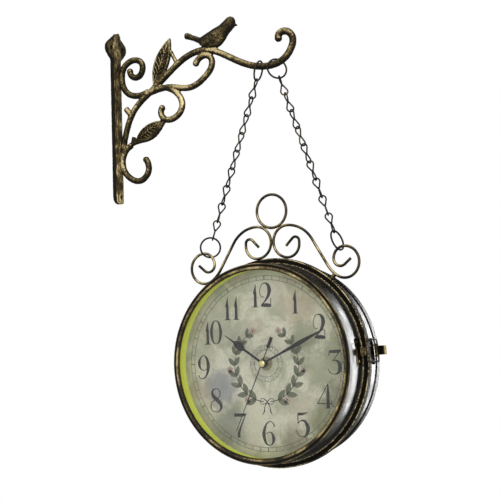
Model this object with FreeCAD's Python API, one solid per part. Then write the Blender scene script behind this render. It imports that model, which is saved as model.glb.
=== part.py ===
"""Double sided station clock on a cast scroll bracket.

Frame: origin on the wall face, midway between the two screws of the bracket's ear.
X points away from the wall, Y to the rear dial, Z up.  Millimetres.
"""
import FreeCAD, Part
import math
import os

V = FreeCAD.Vector
X_AXIS, Y_AXIS, Z_AXIS = V(1, 0, 0), V(0, 1, 0), V(0, 0, 1)

# ---------------------------------------------------------------- driving dimensions
running_gap = 0.05        # radial clearance of a turning fit
seat_gap = 0.1            # clearance of pieces that are pushed together
free_gap = 0.3            # clearance of pieces that hang or swing past each other
slant_gap = 0.5           # the same where two curved wires cross at a slant

# wall bracket
wall_bar_width = 17.0
wall_bar_depth = 7.2      # at the crest of its bowed front
wall_bar_edge = 2.6       # at its two edges
wall_bar_bottom = -180.8
ear_thickness = 4.2
ear_tip_height = 17.8
ear_tail_depth = 22.0     # where the lines under the two lobes meet
ear_lobe_radius = 8.2
ear_screw_spacing = 22.0
ear_screw_diameter = 4.5
foot_screw_height = -173.0
foot_screw_diameter = 5.0
stem_diameter = 7.0       # the arm at its root
arm_diameter = 8.0        # the arm at its tip
scroll_diameter = 7.2
twig_diameter = 4.6
leaf_thickness = 3.4
leaf_rim = 1.5
leaf_sink = 0.9           # depth of the fields beside the midrib, on each face
hang_reach = 202.3        # wall to the lowest point of the arm
arm_dip_height = -42.0

# rings and chains
ring_radius = 10.95       # to the middle of the wire
ring_wire = 2.0
ring_lean = 15.0          # degrees that the top rings lean out from the vertical
ring_seat_spread = 20.4   # between the two rings where they rest on the arm
link_wire = 1.7
link_pitch = 20.25
link_count = 9
link_eye_width = 9.3      # outside

# case
shell_radius = 105.8
shell_wall = 1.0
bead_height = 2.0         # rolled bead on the shell's back edge
dial_ledge = 7.0          # how far the dial's ledge reaches in
rim_step = 7.2            # the middle rim stands out from the shells
rim_radius = shell_radius + rim_step
rim_width = 8.1
rim_wall = 1.2
half_depth = 35.0         # middle plane to the front edge of a shell
parting = 4.2             # middle plane to the back edge of a shell
bezel_wall = 1.1
bezel_radius = shell_radius + bezel_wall
bezel_front = 38.3
bezel_skirt = 9.0         # how far the bezel reaches back over the shell
sight_inset = 6.2
sight_radius = shell_radius - sight_inset       # the bezel's opening
glass_thickness = 2.0
dial_depth = 20.7         # middle plane to the printed face
dial_thickness = 1.6
spacer_wall = 3.6

# crown wires
crown_wire = 3.0
crown_ring_radius = 18.1
inner_loop_radius = 17.4
outer_loop_radius = 16.8
eye_radius = 13.0         # the outer spiral's second turn
outer_loop_spread = 86.5  # middle of the clock to the middle of an outer spiral
outer_loop_lift = 5.0
hang_turn = 25.0          # degrees past the outer spiral's top where the ring hangs
shoulder_radius = 34.5
foot_bend_radius = 40.0

# movement and hands
movement_size = 56.0
movement_depth = 14.5
washer_thickness = 0.8
bush_radius = 3.95
hour_pipe_radius = 2.55
minute_arbor_radius = 1.7
second_pin_radius = 0.7
battery_diameter = 14.5
battery_length = 50.5
minute_hand_length = 82.0
hour_hand_length = 55.6
second_hand_length = 78.6
second_tail_length = 30.6
second_tail_block = 12.0
hand_thickness = 0.4
hands_time = {"hour": 303.5, "minute": 64.6, "second": 204.7}   # degrees from twelve

# hinge and latch
hinge_pin_radius = 1.2
hinge_knuckle_radius = 2.4
hinge_length = 24.0
latch_angle = 5.6         # degrees above three o'clock
latch_plate_half = 14.0
latch_half_width = 11.5   # of the wire loop
latch_wire = 1.6
lever_pin_y = 10.0        # middle plane to the lever's pin
lever_throw = 6.5         # pin to the loop's pivot
lever_reach = 18.0        # pin to the tip of the thumb lip


# ---------------------------------------------------------------- small helpers
def fused(shapes):
    """One clean solid from overlapping ones."""
    whole = shapes[0]
    for shape in shapes[1:]:
        whole = whole.fuse(shape)
    return whole.removeSplitter()


def turned(shape, degrees, axis=Y_AXIS, centre=V(0, 0, 0)):
    copy = shape.copy()
    copy.rotate(centre, axis, degrees)
    return copy


def moved(shape, x=0.0, y=0.0, z=0.0):
    copy = shape.copy()
    copy.translate(V(x, y, z))
    return copy


def box(x0, x1, y0, y1, z0, z1):
    return Part.makeBox(x1 - x0, y1 - y0, z1 - z0, V(x0, y0, z0))


def rod_y(radius, y0, y1, x=0.0, z=0.0):
    return Part.makeCylinder(radius, y1 - y0, V(x, y0, z), Y_AXIS)


def rod_z(radius, z0, z1, x=0.0, y=0.0):
    return Part.makeCylinder(radius, z1 - z0, V(x, y, z0), Z_AXIS)


def spun(profile, angle=360.0):
    """Revolves closed (radius, y) points about the clock's axis."""
    points = [V(r, y, 0) for r, y in profile]
    face = Part.Face(Part.makePolygon(points + points[:1]))
    return face.revolve(V(0, 0, 0), Y_AXIS, angle)


def spun_patch(r0, r1, y0, y1, half_angle, middle=0.0):
    """A stretch of hoop about the clock's axis, middle degrees up from three o'clock."""
    patch = spun([(r0, y0), (r1, y0), (r1, y1), (r0, y1)], 2 * half_angle)
    return turned(patch, -(middle + half_angle))


def bent_wire(start, heading, moves):
    """Edges in the XZ plane: ("line", length) or ("left"/"right", radius, degrees)."""
    edges = []
    x, z = start
    for move in moves:
        a = math.radians(heading)
        if move[0] == "line":
            x1, z1 = x + move[1] * math.cos(a), z + move[1] * math.sin(a)
            edges.append(Part.makeLine(V(x, 0, z), V(x1, 0, z1)))
        else:
            side = 1 if move[0] == "left" else -1
            radius, turn = move[1], move[2]
            cx, cz = x - side * radius * math.sin(a), z + side * radius * math.cos(a)
            places = []
            for share in (0.5, 1.0):
                b = a + side * math.radians(turn) * share
                places.append(V(cx + side * radius * math.sin(b), 0, cz - side * radius * math.cos(b)))
            edges.append(Part.Arc(V(x, 0, z), places[0], places[1]).toShape())
            heading += side * turn
            x1, z1 = places[1].x, places[1].z
        x, z = x1, z1
    return edges


def swept(edges, radius, end_radius=None):
    """A round rod along edges in order, with one or two end radii."""
    path = Part.Wire(edges)
    first, last = path.OrderedEdges[0], path.OrderedEdges[-1]
    start, start_way = first.valueAt(first.FirstParameter), first.tangentAt(first.FirstParameter)
    if first.Orientation == "Reversed":
        start, start_way = first.valueAt(first.LastParameter), first.tangentAt(first.LastParameter) * -1
    section = Part.Wire([Part.makeCircle(radius, start, start_way)])
    if end_radius is None:
        return path.makePipeShell([section], True, False)
    end, end_way = last.valueAt(last.LastParameter), last.tangentAt(last.LastParameter)
    far = Part.Wire([Part.makeCircle(end_radius, end, end_way)])
    return path.makePipeShell([section, far], True, False)


def spline(points):
    """A smooth edge in the XZ plane through (x, z) points."""
    curve = Part.BSplineCurve()
    curve.interpolate([V(x, 0, z) for x, z in points])
    return curve.toShape()


def rod_through(points, diameter, end_diameter=None, tips=(False, True)):
    """A cast rod through (x, z) points, with a rounded tip at the ends asked for."""
    r0 = diameter / 2
    r1 = r0 if end_diameter is None else end_diameter / 2
    rod = swept([spline(points)], r0, None if end_diameter is None else r1)
    pieces = [rod]
    for asked, (x, z), r in ((tips[0], points[0], r0), (tips[1], points[-1], r1)):
        if asked:
            pieces.append(Part.makeSphere(r * 1.06, V(x, 0, z)))
    return fused(pieces)


# ---------------------------------------------------------------- wall bracket
# the arm from its root on the bar; its outer half is measured from the point that the clock hangs on
ARM_INNER = [(10.3, -117.3), (15.0, -98.4), (26.1, -74.7), (49.6, -54.7), (72.3, -37.8), (94.4, -22.3),
             (122.9, -15.2)]
ARM_OUTER = [(-51.9, 17.3), (-24.2, 4.1), (0.0, 0.0), (19.3, 4.9), (29.7, 16.3), (31.8, 27.8),
             (23.6, 35.5), (15.6, 33.6), (14.4, 28.8)]
ARM_POINTS = ARM_INNER + [(hang_reach + x, arm_dip_height + z) for x, z in ARM_OUTER]


def ear_kite():
    """The ear's four-sided middle, from its tip past both lobes to its tail; a face at x = 0."""
    half = ear_screw_spacing / 2
    corners = []
    for height in (ear_tip_height, -ear_tail_depth):
        away = math.hypot(half, height)
        touch = math.atan2(height, -half) - math.copysign(math.acos(ear_lobe_radius / away), height)
        y, z = half + ear_lobe_radius * math.cos(touch), ear_lobe_radius * math.sin(touch)
        corners.append((V(0, 0, height), V(0, y, z), V(0, -y, z)))
    (tip, upper_right, upper_left), (tail, lower_right, lower_left) = corners
    ring = [tip, upper_right, lower_right, tail, lower_left, upper_left, tip]
    return Part.Face(Part.makePolygon(ring))


def wall_bar():
    """Flat-backed bar with a bowed front, a round foot and a peak that runs up over the ear."""
    half = wall_bar_width / 2
    edge_right, edge_left = V(wall_bar_edge, half, 0), V(wall_bar_edge, -half, 0)
    crest = V(wall_bar_depth, 0, 0)
    sides = [Part.makeLine(V(0, -half, 0), V(0, half, 0)), Part.makeLine(V(0, half, 0), edge_right),
             Part.Arc(edge_right, crest, edge_left).toShape(), Part.makeLine(edge_left, V(0, -half, 0))]
    section = moved(Part.Face(Part.Wire(sides)), z=wall_bar_bottom)
    bar = section.extrude(V(0, 0, ear_tip_height - wall_bar_bottom))
    foot_centre = wall_bar_bottom + half
    deep = 2 * wall_bar_depth
    outline = Part.makeCylinder(half, deep, V(0, 0, foot_centre), X_AXIS)
    outline = outline.fuse(box(0, deep, -half, half, foot_centre, 0)).fuse(ear_kite().extrude(V(deep, 0, 0)))
    return bar.common(outline)


def ear():
    """Thin plate behind the bar, with a round lobe about each screw."""
    half = ear_screw_spacing / 2
    lobes = [Part.makeCylinder(ear_lobe_radius, ear_thickness, V(0, y, 0), X_AXIS) for y in (-half, half)]
    return fused([ear_kite().extrude(V(ear_thickness, 0, 0))] + lobes)


def screw_holes():
    holes = []
    for y in (-ear_screw_spacing / 2, ear_screw_spacing / 2):
        holes.append(Part.makeCylinder(ear_screw_diameter / 2, 30, V(-5, y, 0), X_AXIS))
    holes.append(Part.makeCylinder(foot_screw_diameter / 2, 30, V(-5, 0, foot_screw_height), X_AXIS))
    return holes


def leaf_shape(start, end, width, low_share):
    """A pointed oval in the XZ plane from start to end along X; low_share of its width lies below."""
    length = end - start
    sides = []
    for side, share in ((1, 1 - low_share), (-1, low_share)):
        half = side * width * share
        curve = Part.BSplineCurve()
        stations = [(0.0, 0.0), (0.2, 0.72), (0.5, 1.0), (0.8, 0.62), (1.0, 0.0)]
        curve.interpolate([V(start + along * length, 0, out * half) for along, out in stations])
        sides.append(curve.toShape())
    return Part.Face(Part.Wire(sides))


def leaf(base, tip, width, low_share):
    """A leaf from base to tip, with a raised rim and a raised midrib round its sunk fields."""
    way = V(tip[0] - base[0], 0, tip[1] - base[1])
    length = way.Length
    plate = leaf_shape(0, length, width, low_share).extrude(V(0, leaf_thickness, 0))
    plate = moved(plate, y=-leaf_thickness / 2)
    field = leaf_shape(2.4 * leaf_rim, length - 2.4 * leaf_rim, width - 2 * leaf_rim, low_share)
    for y in (-leaf_thickness / 2 - 1.0, leaf_thickness / 2 - leaf_sink):
        plate = plate.cut(moved(field.extrude(V(0, leaf_sink + 1.0, 0)), y=y))
    rib = Part.makeCone(leaf_thickness * 0.6, leaf_thickness * 0.36, 0.92 * length, V(0, 0, 0), X_AXIS)
    return moved(turned(fused([plate, rib]), -math.degrees(math.atan2(way.z, way.x))), base[0], 0, base[1])


def stub(base, tip, diameter):
    """A short twig, cut off square."""
    way = V(tip[0] - base[0], 0, tip[1] - base[1])
    return Part.makeCylinder(diameter / 2, way.Length, V(base[0], 0, base[1]), way)


# slices of the bird along X: (x, underside, top, full width)
BIRD_SLICES = [
    (97.2, 0.2, 5.8, 4.0), (98.6, -0.6, 6.9, 5.0), (102.0, -1.3, 6.4, 5.2), (106.0, -2.7, 4.4, 4.8),
    (110.0, -4.3, 2.6, 4.8), (114.0, -6.4, 0.9, 6.0), (118.0, -9.4, -0.3, 8.4), (122.0, -13.0, 1.5, 10.2),
    (126.5, -15.2, 3.5, 11.4), (132.0, -15.8, 6.0, 12.0), (137.5, -15.2, 8.3, 12.0),
    (142.0, -13.4, 10.0, 11.2), (146.0, -10.6, 12.4, 10.6), (150.0, -6.0, 15.3, 10.4),
    (153.6, -1.4, 17.8, 10.2), (157.3, 2.2, 18.4, 9.6), (160.4, 4.8, 17.2, 7.6), (162.4, 6.8, 13.8, 4.4),
]
bird_wing = (15.0, 1.9, 5.2)          # half sizes of a folded wing
bird_wing_centre = (132.5, 5.0, -3.6)
bird_wing_rise = 25.0                 # degrees
bird_beak_root = (160.4, 0.0, 8.8)


def bird():
    """Bird lofted through upright oval slices, with beak and folded wings."""
    sections = []
    for x, low, high, width in BIRD_SLICES:
        major, minor = max(high - low, width) / 2, min(high - low, width) / 2
        oval = Part.Ellipse(V(x, 0, (low + high) / 2), major, minor).toShape()
        oval.rotate(V(x, 0, (low + high) / 2), Y_AXIS, 90)
        if width > high - low:
            oval.rotate(V(x, 0, (low + high) / 2), X_AXIS, 90)
        sections.append(Part.Wire([oval]))
    body = Part.makeLoft(sections, True, False)
    beak = Part.makeCone(2.6, 0.5, 6.0, V(*bird_beak_root), V(1, 0, -0.28))
    pieces = [body, beak]
    x, y, z = bird_wing_centre
    for side in (-1, 1):
        shape = FreeCAD.Matrix()
        shape.scale(*bird_wing)
        wing = turned(Part.makeSphere(1.0).transformGeometry(shape), -bird_wing_rise)
        pieces.append(moved(wing, x, side * y, z))
    return fused(pieces)


def bracket_casting():
    d = scroll_diameter
    upper_scroll = rod_through(
        [(21.8, -28.6), (24.0, -34.0), (29.2, -36.5), (35.0, -34.8), (38.8, -28.9),
         (37.7, -20.4), (30.0, -16.2), (20.5, -17.7), (12.9, -24.3), (10.4, -34.3), (12.1, -45.3),
         (18.1, -53.5), (27.5, -57.3), (37.5, -57.2), (46.6, -54.0)], d, None, (True, False))
    loop = rod_through(
        [(49.6, -55.7), (61.9, -52.9), (77.0, -52.3), (91.9, -54.9), (103.6, -55.1), (113.7, -51.4),
         (123.9, -44.0), (131.1, -34.7), (131.0, -25.7), (124.0, -21.3), (116.0, -23.4), (111.0, -29.0)], d)
    lower_curl = rod_through(
        [(71.7, -52.6), (80.1, -56.3), (87.9, -63.2), (91.6, -72.3), (89.3, -80.9), (82.1, -87.0),
         (74.0, -89.2), (66.8, -87.2), (63.1, -81.6), (64.4, -75.0)], d)
    lower_scroll = rod_through(
        [(22.1, -114.1), (14.0, -119.4), (9.4, -128.8), (9.8, -139.3), (15.3, -148.4), (23.4, -154.1),
         (32.1, -155.7), (40.2, -151.7), (44.4, -144.7), (44.2, -137.6), (41.3, -132.1)], d)
    leaf_stem = rod_through(
        [(12.0, -120.3), (20.6, -114.1), (32.2, -110.8), (45.6, -108.9), (55.6, -103.9), (62.6, -96.2),
         (67.2, -89.8)], twig_diameter, None, (False, False))
    lower_leaf = leaf((28.2, -109.2), (63.2, -89.2), 16.0, 0.56)
    side_stem = rod_through([(86.0, -26.6), (81.0, -17.9), (78.4, -12.8)], twig_diameter, None, (False, True))
    upper_leaf = leaf((54.3, -48.3), (77.4, 4.0), 19.0, 0.5)
    stubs = [stub((23.9, -81.8), (15.0, -70.8), 6.8), stub((23.4, -113.6), (25.3, -104.6), 5.0)]
    metal = [wall_bar(), ear(), arm_rod, upper_scroll, loop, lower_curl, lower_scroll, leaf_stem,
             lower_leaf, side_stem, upper_leaf, bird()] + stubs
    casting = fused(metal)
    for hole in screw_holes():
        casting = casting.cut(hole)
    return casting


# ---------------------------------------------------------------- rings and chains
def split_ring(centre, lean, twist):
    """A round wire ring in a plane that holds its lean line, turned about that line."""
    ring = Part.makeTorus(ring_radius, ring_wire / 2, V(0, 0, 0), X_AXIS)
    ring.rotate(V(0, 0, 0), Z_AXIS, twist)
    ring.rotate(V(0, 0, 0), Y_AXIS, lean)
    ring.translate(centre)
    return ring


def link_eye(reach, round_radius, low):
    """One drop-shaped wire eye in the XZ plane, round at z = reach, its narrow end at z = low."""
    tight = 0.9
    high_centre, low_centre = reach - round_radius, low + tight
    flank = math.asin((round_radius - tight) / (high_centre - low_centre))
    places = []
    for centre, radius in ((low_centre, tight), (high_centre, round_radius)):
        places.append(V(radius * math.cos(flank), 0, centre - radius * math.sin(flank)))
    right_low, right_high = places
    left_low, left_high = V(-right_low.x, 0, right_low.z), V(-right_high.x, 0, right_high.z)
    path = Part.Wire([
        Part.makeLine(right_low, right_high), Part.Arc(right_high, V(0, 0, reach), left_high).toShape(),
        Part.makeLine(left_high, left_low), Part.Arc(left_low, V(0, 0, low), right_low).toShape()])
    section = Part.Wire([Part.makeCircle(link_wire / 2, right_low, right_high - right_low)])
    return path.makePipeShell([section], True, False)


link_nest = link_wire + free_gap                      # how far two hooked bars lie apart
link_length = link_pitch + link_nest                  # bar to bar, middle of the wire
ring_nest = (ring_wire + link_wire) / 2 + free_gap
crown_nest = (ring_wire + crown_wire) / 2 + slant_gap


def jack_link():
    """Two wire eyes at right angles, joined at their apexes; centred at the origin, along Z."""
    upper = link_eye(link_length / 2, (link_eye_width - link_wire) / 2, -0.25 * link_wire)
    lower = turned(upper, 180.0)
    lower.rotate(V(0, 0, 0), Z_AXIS, 90)
    return fused([upper, lower])


def chain(top, bottom, first_twist, twist_step):
    """Links from the top pivot to the bottom ring's wire, hooked through each other."""
    way = bottom - top
    way.normalize()
    tilt = math.degrees(math.atan2(way.x, -way.z))
    links = []
    for i in range(link_count):
        link = jack_link()
        link.rotate(V(0, 0, 0), Z_AXIS, first_twist + i * twist_step)
        link.rotate(V(0, 0, 0), Y_AXIS, -tilt)
        link.translate(top + way * (-ring_nest + link_length / 2 + i * link_pitch))
        links.append(link)
    return Part.makeCompound(links)


# where the chains hang: on the arm, and on the crown's outer spirals
arm_curve = spline(ARM_POINTS).Curve
arm_parameter_per_mm = (arm_curve.LastParameter - arm_curve.FirstParameter) / arm_curve.length()


def arm_point(x):
    """The middle of the arm at x, near the dip."""
    near = arm_curve.parameter(V(x, 0, arm_dip_height))
    for _ in range(20):
        place = arm_curve.value(near)
        slope = arm_curve.tangent(near)[0]
        near += (x - place.x) / slope.x * arm_parameter_per_mm
    return arm_curve.value(near)


lean = math.radians(ring_lean)
outward = {"left": V(-math.sin(lean), 0, -math.cos(lean)), "right": V(math.sin(lean), 0, -math.cos(lean))}
top_ring_twist = {"left": 8.0, "right": -40.0}
seat_x = {"left": hang_reach - ring_seat_spread / 2, "right": hang_reach + ring_seat_spread / 2}
seat_height = (arm_point(seat_x["left"]).z + arm_point(seat_x["right"]).z) / 2
arm_rod = rod_through(ARM_POINTS, stem_diameter, arm_diameter)


def top_ring(side, drop):
    """A ring round the arm, its middle drop below the arm's middle; and where its lowest wire lies."""
    centre = V(seat_x[side], 0, seat_height) + outward[side] * drop
    leaning = ring_lean if side == "left" else -ring_lean
    return split_ring(centre, leaning, top_ring_twist[side]), centre + outward[side] * ring_radius


def drop_that_clears(side):
    """The drop at which the ring lies free_gap above the arm it hangs on."""
    drop = ring_radius - ring_wire / 2 - arm_diameter / 2 - 2 * free_gap
    for _ in range(12):
        distance = top_ring(side, drop)[0].distToShape(arm_rod)[0]
        if distance > 0.001 and abs(distance - free_gap) < 0.01:
            return drop
        drop += distance - free_gap if distance > 0.001 else -free_gap
    return drop


ring_drop = min(drop_that_clears("left"), drop_that_clears("right"))
chain_top = {side: top_ring(side, ring_drop)[1] for side in ("left", "right")}

# crown circles, measured from the clock's centre
crown_r = crown_wire / 2
inner_loop_x = inner_loop_radius + crown_r + seat_gap / 2
inner_loop_z = math.sqrt((rim_radius + crown_r + seat_gap / 2 + inner_loop_radius) ** 2 - inner_loop_x ** 2)
outer_loop_distance = rim_radius + crown_r + outer_loop_radius + outer_loop_lift
outer_loop_x = outer_loop_spread
outer_loop_z = math.sqrt(outer_loop_distance ** 2 - outer_loop_spread ** 2)
hang_x = outer_loop_x - eye_radius * math.sin(math.radians(hang_turn))
hang_z = outer_loop_z + outer_loop_radius - eye_radius + eye_radius * math.cos(math.radians(hang_turn))

chain_length = link_count * link_pitch + link_nest - 2 * ring_nest      # ring wire to ring wire
pivot_length = chain_length + 2 * ring_radius - crown_nest              # arm ring to crown wire
half_top = chain_top["right"].x - hang_reach
drop = math.sqrt(pivot_length ** 2 - (hang_x - half_top) ** 2)
clock_height = chain_top["right"].z - drop - hang_z
CLOCK = V(hang_reach, 0, clock_height)
hang_point = {"left": CLOCK + V(-hang_x, 0, hang_z), "right": CLOCK + V(hang_x, 0, hang_z)}


def bottom_ring(side, twist):
    way = hang_point[side] - chain_top[side]
    way.normalize()
    centre = chain_top[side] + way * (chain_length + ring_radius)
    tilt = math.degrees(math.atan2(way.x, -way.z))
    return split_ring(centre, -tilt, twist), chain_top[side] + way * chain_length


# ---------------------------------------------------------------- crown wires
def crown_ring():
    reach = inner_loop_radius + crown_ring_radius + crown_wire + seat_gap / 2
    height = inner_loop_z + math.sqrt(reach ** 2 - inner_loop_x ** 2)
    return Part.makeTorus(crown_ring_radius, crown_r, V(0, 0, height), Y_AXIS)


def right_crown_scroll():
    """One bent wire: inner scroll, shoulder, foot on the rim and outer spiral."""
    join_heading = -35.0
    n = math.radians(join_heading)
    foot_x = outer_loop_x - (foot_bend_radius - outer_loop_radius) * math.sin(n)
    foot_z = outer_loop_z + (foot_bend_radius - outer_loop_radius) * math.cos(n)
    shoulder_x, shoulder_z = inner_loop_x, inner_loop_z + inner_loop_radius - shoulder_radius
    apart = math.hypot(foot_x - shoulder_x, foot_z - shoulder_z)
    both = shoulder_radius + foot_bend_radius
    slope = math.degrees(math.atan2(foot_z - shoulder_z, foot_x - shoulder_x) - math.asin(both / apart))
    straight = math.sqrt(apart ** 2 - both ** 2)
    bottom = (inner_loop_x, inner_loop_z - inner_loop_radius)
    forward = bent_wire(bottom, 180.0, [
        ("right", inner_loop_radius, 180.0), ("right", shoulder_radius, -slope), ("line", straight),
        ("left", foot_bend_radius, join_heading - slope), ("left", outer_loop_radius, 180.0 - join_heading),
        ("left", eye_radius, 90.0), ("left", 8.0, 130.0), ("line", 9.0)])
    back = bent_wire(bottom, 0.0, [("left", 14.0, 90.0), ("line", 3.0), ("left", 4.8, 135.0), ("line", 11.0)])
    inner = swept(back, crown_r)
    outer = swept(forward, crown_r)
    # weld lump between the wire and the rim, where the two are nearest
    away = math.hypot(foot_x, foot_z)
    way = V(foot_x / away, 0, foot_z / away)
    root = rim_radius - 4.0
    lump = Part.makeCylinder(0.8 * crown_wire, away - foot_bend_radius - root, way * root, way)
    lump = lump.cut(rod_y(rim_radius + seat_gap / 2, -20, 20))
    return fused([inner, outer, lump])


def mirrored(shape):
    """The other side of the clock's upright middle plane."""
    return shape.mirror(V(0, 0, 0), X_AXIS)


# ---------------------------------------------------------------- case
ledge_y = -(dial_depth - dial_thickness - seat_gap)
glass_y = -half_depth


def case_shell():
    """Front shell: drum wall with a rolled bead at the back and a ledge that carries the dial."""
    outer, inner = shell_radius, shell_radius - shell_wall
    crest, ledge = outer + bead_height, inner - dial_ledge
    back = -parting
    return spun([
        (inner, -half_depth), (outer, -half_depth), (outer, back - 3.4), (crest - 1.1, back - 3.1),
        (crest - 0.3, back - 2.3), (crest, back - 1.3), (crest - 0.3, back - 0.4), (crest - 0.8, back),
        (inner, back), (inner, ledge_y + shell_wall), (ledge, ledge_y + shell_wall), (ledge, ledge_y),
        (inner, ledge_y)])


def middle_rim():
    """Hoop of U section between the two shells, with a slightly crowned outside."""
    front, back = parting - rim_width, parting
    outer, inner, wall = rim_radius, shell_radius - shell_wall - rim_wall, rim_wall
    return spun([
        (inner, front), (outer - 1.0, front), (outer - 0.3, front + 0.6), (outer, front + 1.8),
        (outer, back - 1.8), (outer - 0.3, back - 0.6), (outer - 1.0, back), (inner, back),
        (inner, back - wall), (outer - wall, back - wall), (outer - wall, front + wall),
        (inner, front + wall)])


def bezel():
    """Rolled ring that snaps over the shell: outer bead, groove, main roll and inner lip."""
    y = -bezel_front
    skirt = shell_radius + seat_gap / 2
    seat_y = glass_y - seat_gap / 2
    rim, sight = bezel_radius, sight_radius
    return spun([
        (skirt, y + bezel_skirt), (rim, y + bezel_skirt), (rim, y + 2.6), (rim - 0.3, y + 1.7),
        (rim - 1.0, y + 1.1), (rim - 1.8, y + 1.2), (rim - 2.3, y + 1.9), (rim - 2.8, y + 2.0),
        (rim - 3.1, y + 1.2), (sight + 3.6, y + 0.5), (sight + 2.8, y + 0.1), (sight + 2.0, y),
        (sight + 1.3, y + 0.3), (sight + 0.8, y + 0.9), (sight + 0.5, y + 1.6), (sight + 0.1, y + 1.8),
        (sight, y + 2.4), (sight, seat_y), (skirt, seat_y)])


def glass():
    edge = shell_radius - shell_wall - seat_gap
    return rod_y(edge, glass_y, glass_y + glass_thickness)


def spacer_ring():
    outer = shell_radius - shell_wall - seat_gap
    ring = rod_y(outer, glass_y + glass_thickness + seat_gap / 2, -dial_depth - seat_gap / 2)
    return ring.cut(rod_y(outer - spacer_wall, -half_depth, 0))


def dial():
    plate = rod_y(shell_radius - shell_wall - seat_gap, -dial_depth, -dial_depth + dial_thickness)
    return plate.cut(rod_y(bush_radius + free_gap, -half_depth, 0))


# ---------------------------------------------------------------- movement
dial_back = -dial_depth + dial_thickness
housing_front = dial_back + washer_thickness
housing_back = housing_front + movement_depth
bush_tip = -dial_depth - 5.2
bay_wall = 1.3
bay_bottom = -movement_size / 2 + bay_wall
bay_top = bay_bottom + battery_diameter + 0.8
battery_z = (bay_bottom + bay_top) / 2
battery_y = housing_front + 1.0 + battery_diameter / 2 + seat_gap
bay_half = battery_length / 2 + 1.4
knob_x, knob_z = 0.0, 9.0


def movement_housing():
    """Moulded case with threaded bush, battery bay and hanger loop."""
    half = movement_size / 2
    body = box(-half, half, housing_front, housing_back, -half, half)
    corners = [e for e in body.Edges if abs(e.tangentAt(e.FirstParameter).y) > 0.99]
    body = body.makeFillet(3.0, corners)
    bay = box(-bay_half, bay_half, housing_front + 1.0, housing_back + 1, bay_bottom, bay_top)
    body = body.cut(bay)
    finger_notch = Part.makeCylinder(9.0, 8.0, V(0, housing_back + 1.0, bay_top - 1.0), Z_AXIS)
    body = body.cut(finger_notch)
    bush = rod_y(bush_radius, bush_tip, housing_front + 0.5)
    body = body.fuse(bush)
    body = body.cut(rod_y(hour_pipe_radius + running_gap, bush_tip - 1, housing_front + 3.0))
    body = body.cut(rod_y(2.6, housing_back - 3.0, housing_back + 1, knob_x, knob_z))
    loop = box(-5, 5, housing_back - 2.5, housing_back - 1.0, half - 0.5, half + 6.0)
    loop = loop.cut(rod_y(2.0, housing_back - 5, housing_back + 1, 0, half + 3.0))
    return fused([body, loop])


def battery():
    """AA cell along X with its contact nub."""
    nub = 1.0
    start = -battery_length / 2
    can_length = battery_length - nub
    can = Part.makeCylinder(battery_diameter / 2, can_length, V(start, battery_y, battery_z), X_AXIS)
    rim = [e for e in can.Edges if e.Curve.TypeId == "Part::GeomCircle"]
    can = can.makeFillet(0.6, rim)
    tip = Part.makeCylinder(2.75, nub + 0.2, V(start + can_length - 0.2, battery_y, battery_z), X_AXIS)
    return fused([can, tip])


def battery_contacts():
    """Spring strip at the flat end and plain strip at the nub."""
    wall = bay_half
    low, high = bay_bottom + 1.5, bay_top - 1.5
    y0, y1 = housing_front + 1.0, housing_back - 1.5
    plain = box(wall - 0.4, wall, y0, y1, low, high)
    touch = battery_length / 2 + seat_gap / 2
    dimple = Part.makeCylinder(2.4, wall - 0.2 - touch, V(touch, battery_y, battery_z), X_AXIS)
    spring_plate = box(-wall, -wall + 0.4, y0, y1, low, high)
    spring = Part.makeCone(5.2, 3.0, 0.95, V(-wall + 0.4, battery_y, battery_z), X_AXIS)
    spring = spring.cut(Part.makeCone(4.6, 2.4, 0.95, V(-wall + 0.4, battery_y, battery_z), X_AXIS))
    return Part.makeCompound([fused([plain, dimple]), fused([spring_plate, spring])])


def rubber_washer():
    washer = rod_y(8.5, dial_back, housing_front)
    return washer.cut(rod_y(bush_radius + running_gap, dial_back - 1, housing_front + 1))


def mounting_nut():
    """Brass washer and hexagon nut in front of the dial."""
    bore = rod_y(bush_radius + running_gap, -40, 0)
    washer = rod_y(7.5, -dial_depth - 0.6, -dial_depth)
    across = 11.0
    corners = []
    for i in range(6):
        a = math.radians(60 * i + 30)
        r = across / 2 / math.cos(math.radians(30))
        corners.append(V(r * math.cos(a), -dial_depth - 0.6, r * math.sin(a)))
    nut = Part.Face(Part.makePolygon(corners + corners[:1])).extrude(V(0, -2.2, 0))
    return fused([washer, nut]).cut(bore)


def setting_knob():
    """Knurled wheel on the back of the movement, on its own arbor."""
    wheel = rod_y(5.0, housing_back + 0.4, housing_back + 2.8, knob_x, knob_z)
    for i in range(12):
        a = math.radians(30 * i)
        groove = rod_y(0.7, housing_back, housing_back + 3,
                       knob_x + 5.2 * math.cos(a), knob_z + 5.2 * math.sin(a))
        wheel = wheel.cut(groove)
    arbor = rod_y(2.6 - running_gap, housing_back - 2.8, housing_back + 0.5, knob_x, knob_z)
    return fused([wheel, arbor])


# ---------------------------------------------------------------- hands
hour_y = bush_tip - 1.6
minute_y = hour_y - 1.5
second_y = minute_y - 1.5
hub_cap_y = second_y - hand_thickness


def hour_pipe():
    pipe = rod_y(hour_pipe_radius, hour_y - hand_thickness, housing_front + 2.8)
    return pipe.cut(rod_y(minute_arbor_radius + running_gap, hour_y - 5, housing_front + 5))


def minute_arbor():
    arbor = rod_y(minute_arbor_radius, minute_y - hand_thickness, housing_front + 2.6)
    return arbor.cut(rod_y(second_pin_radius + running_gap, minute_y - 5, housing_front + 5))


def flat_hand(outline, y, bore, hub):
    """A stamped hand: half outline as (height, half width), mirrored, with a round hub."""
    right = [V(w, y, h) for h, w in outline]
    left = [V(-w, y, h) for h, w in reversed(outline)]
    blade = Part.Face(Part.makePolygon(right + left + right[:1])).extrude(V(0, -hand_thickness, 0))
    disc = rod_y(hub, y - hand_thickness, y)
    return fused([blade, disc]).cut(rod_y(bore, y - 5, y + 5))


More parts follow.
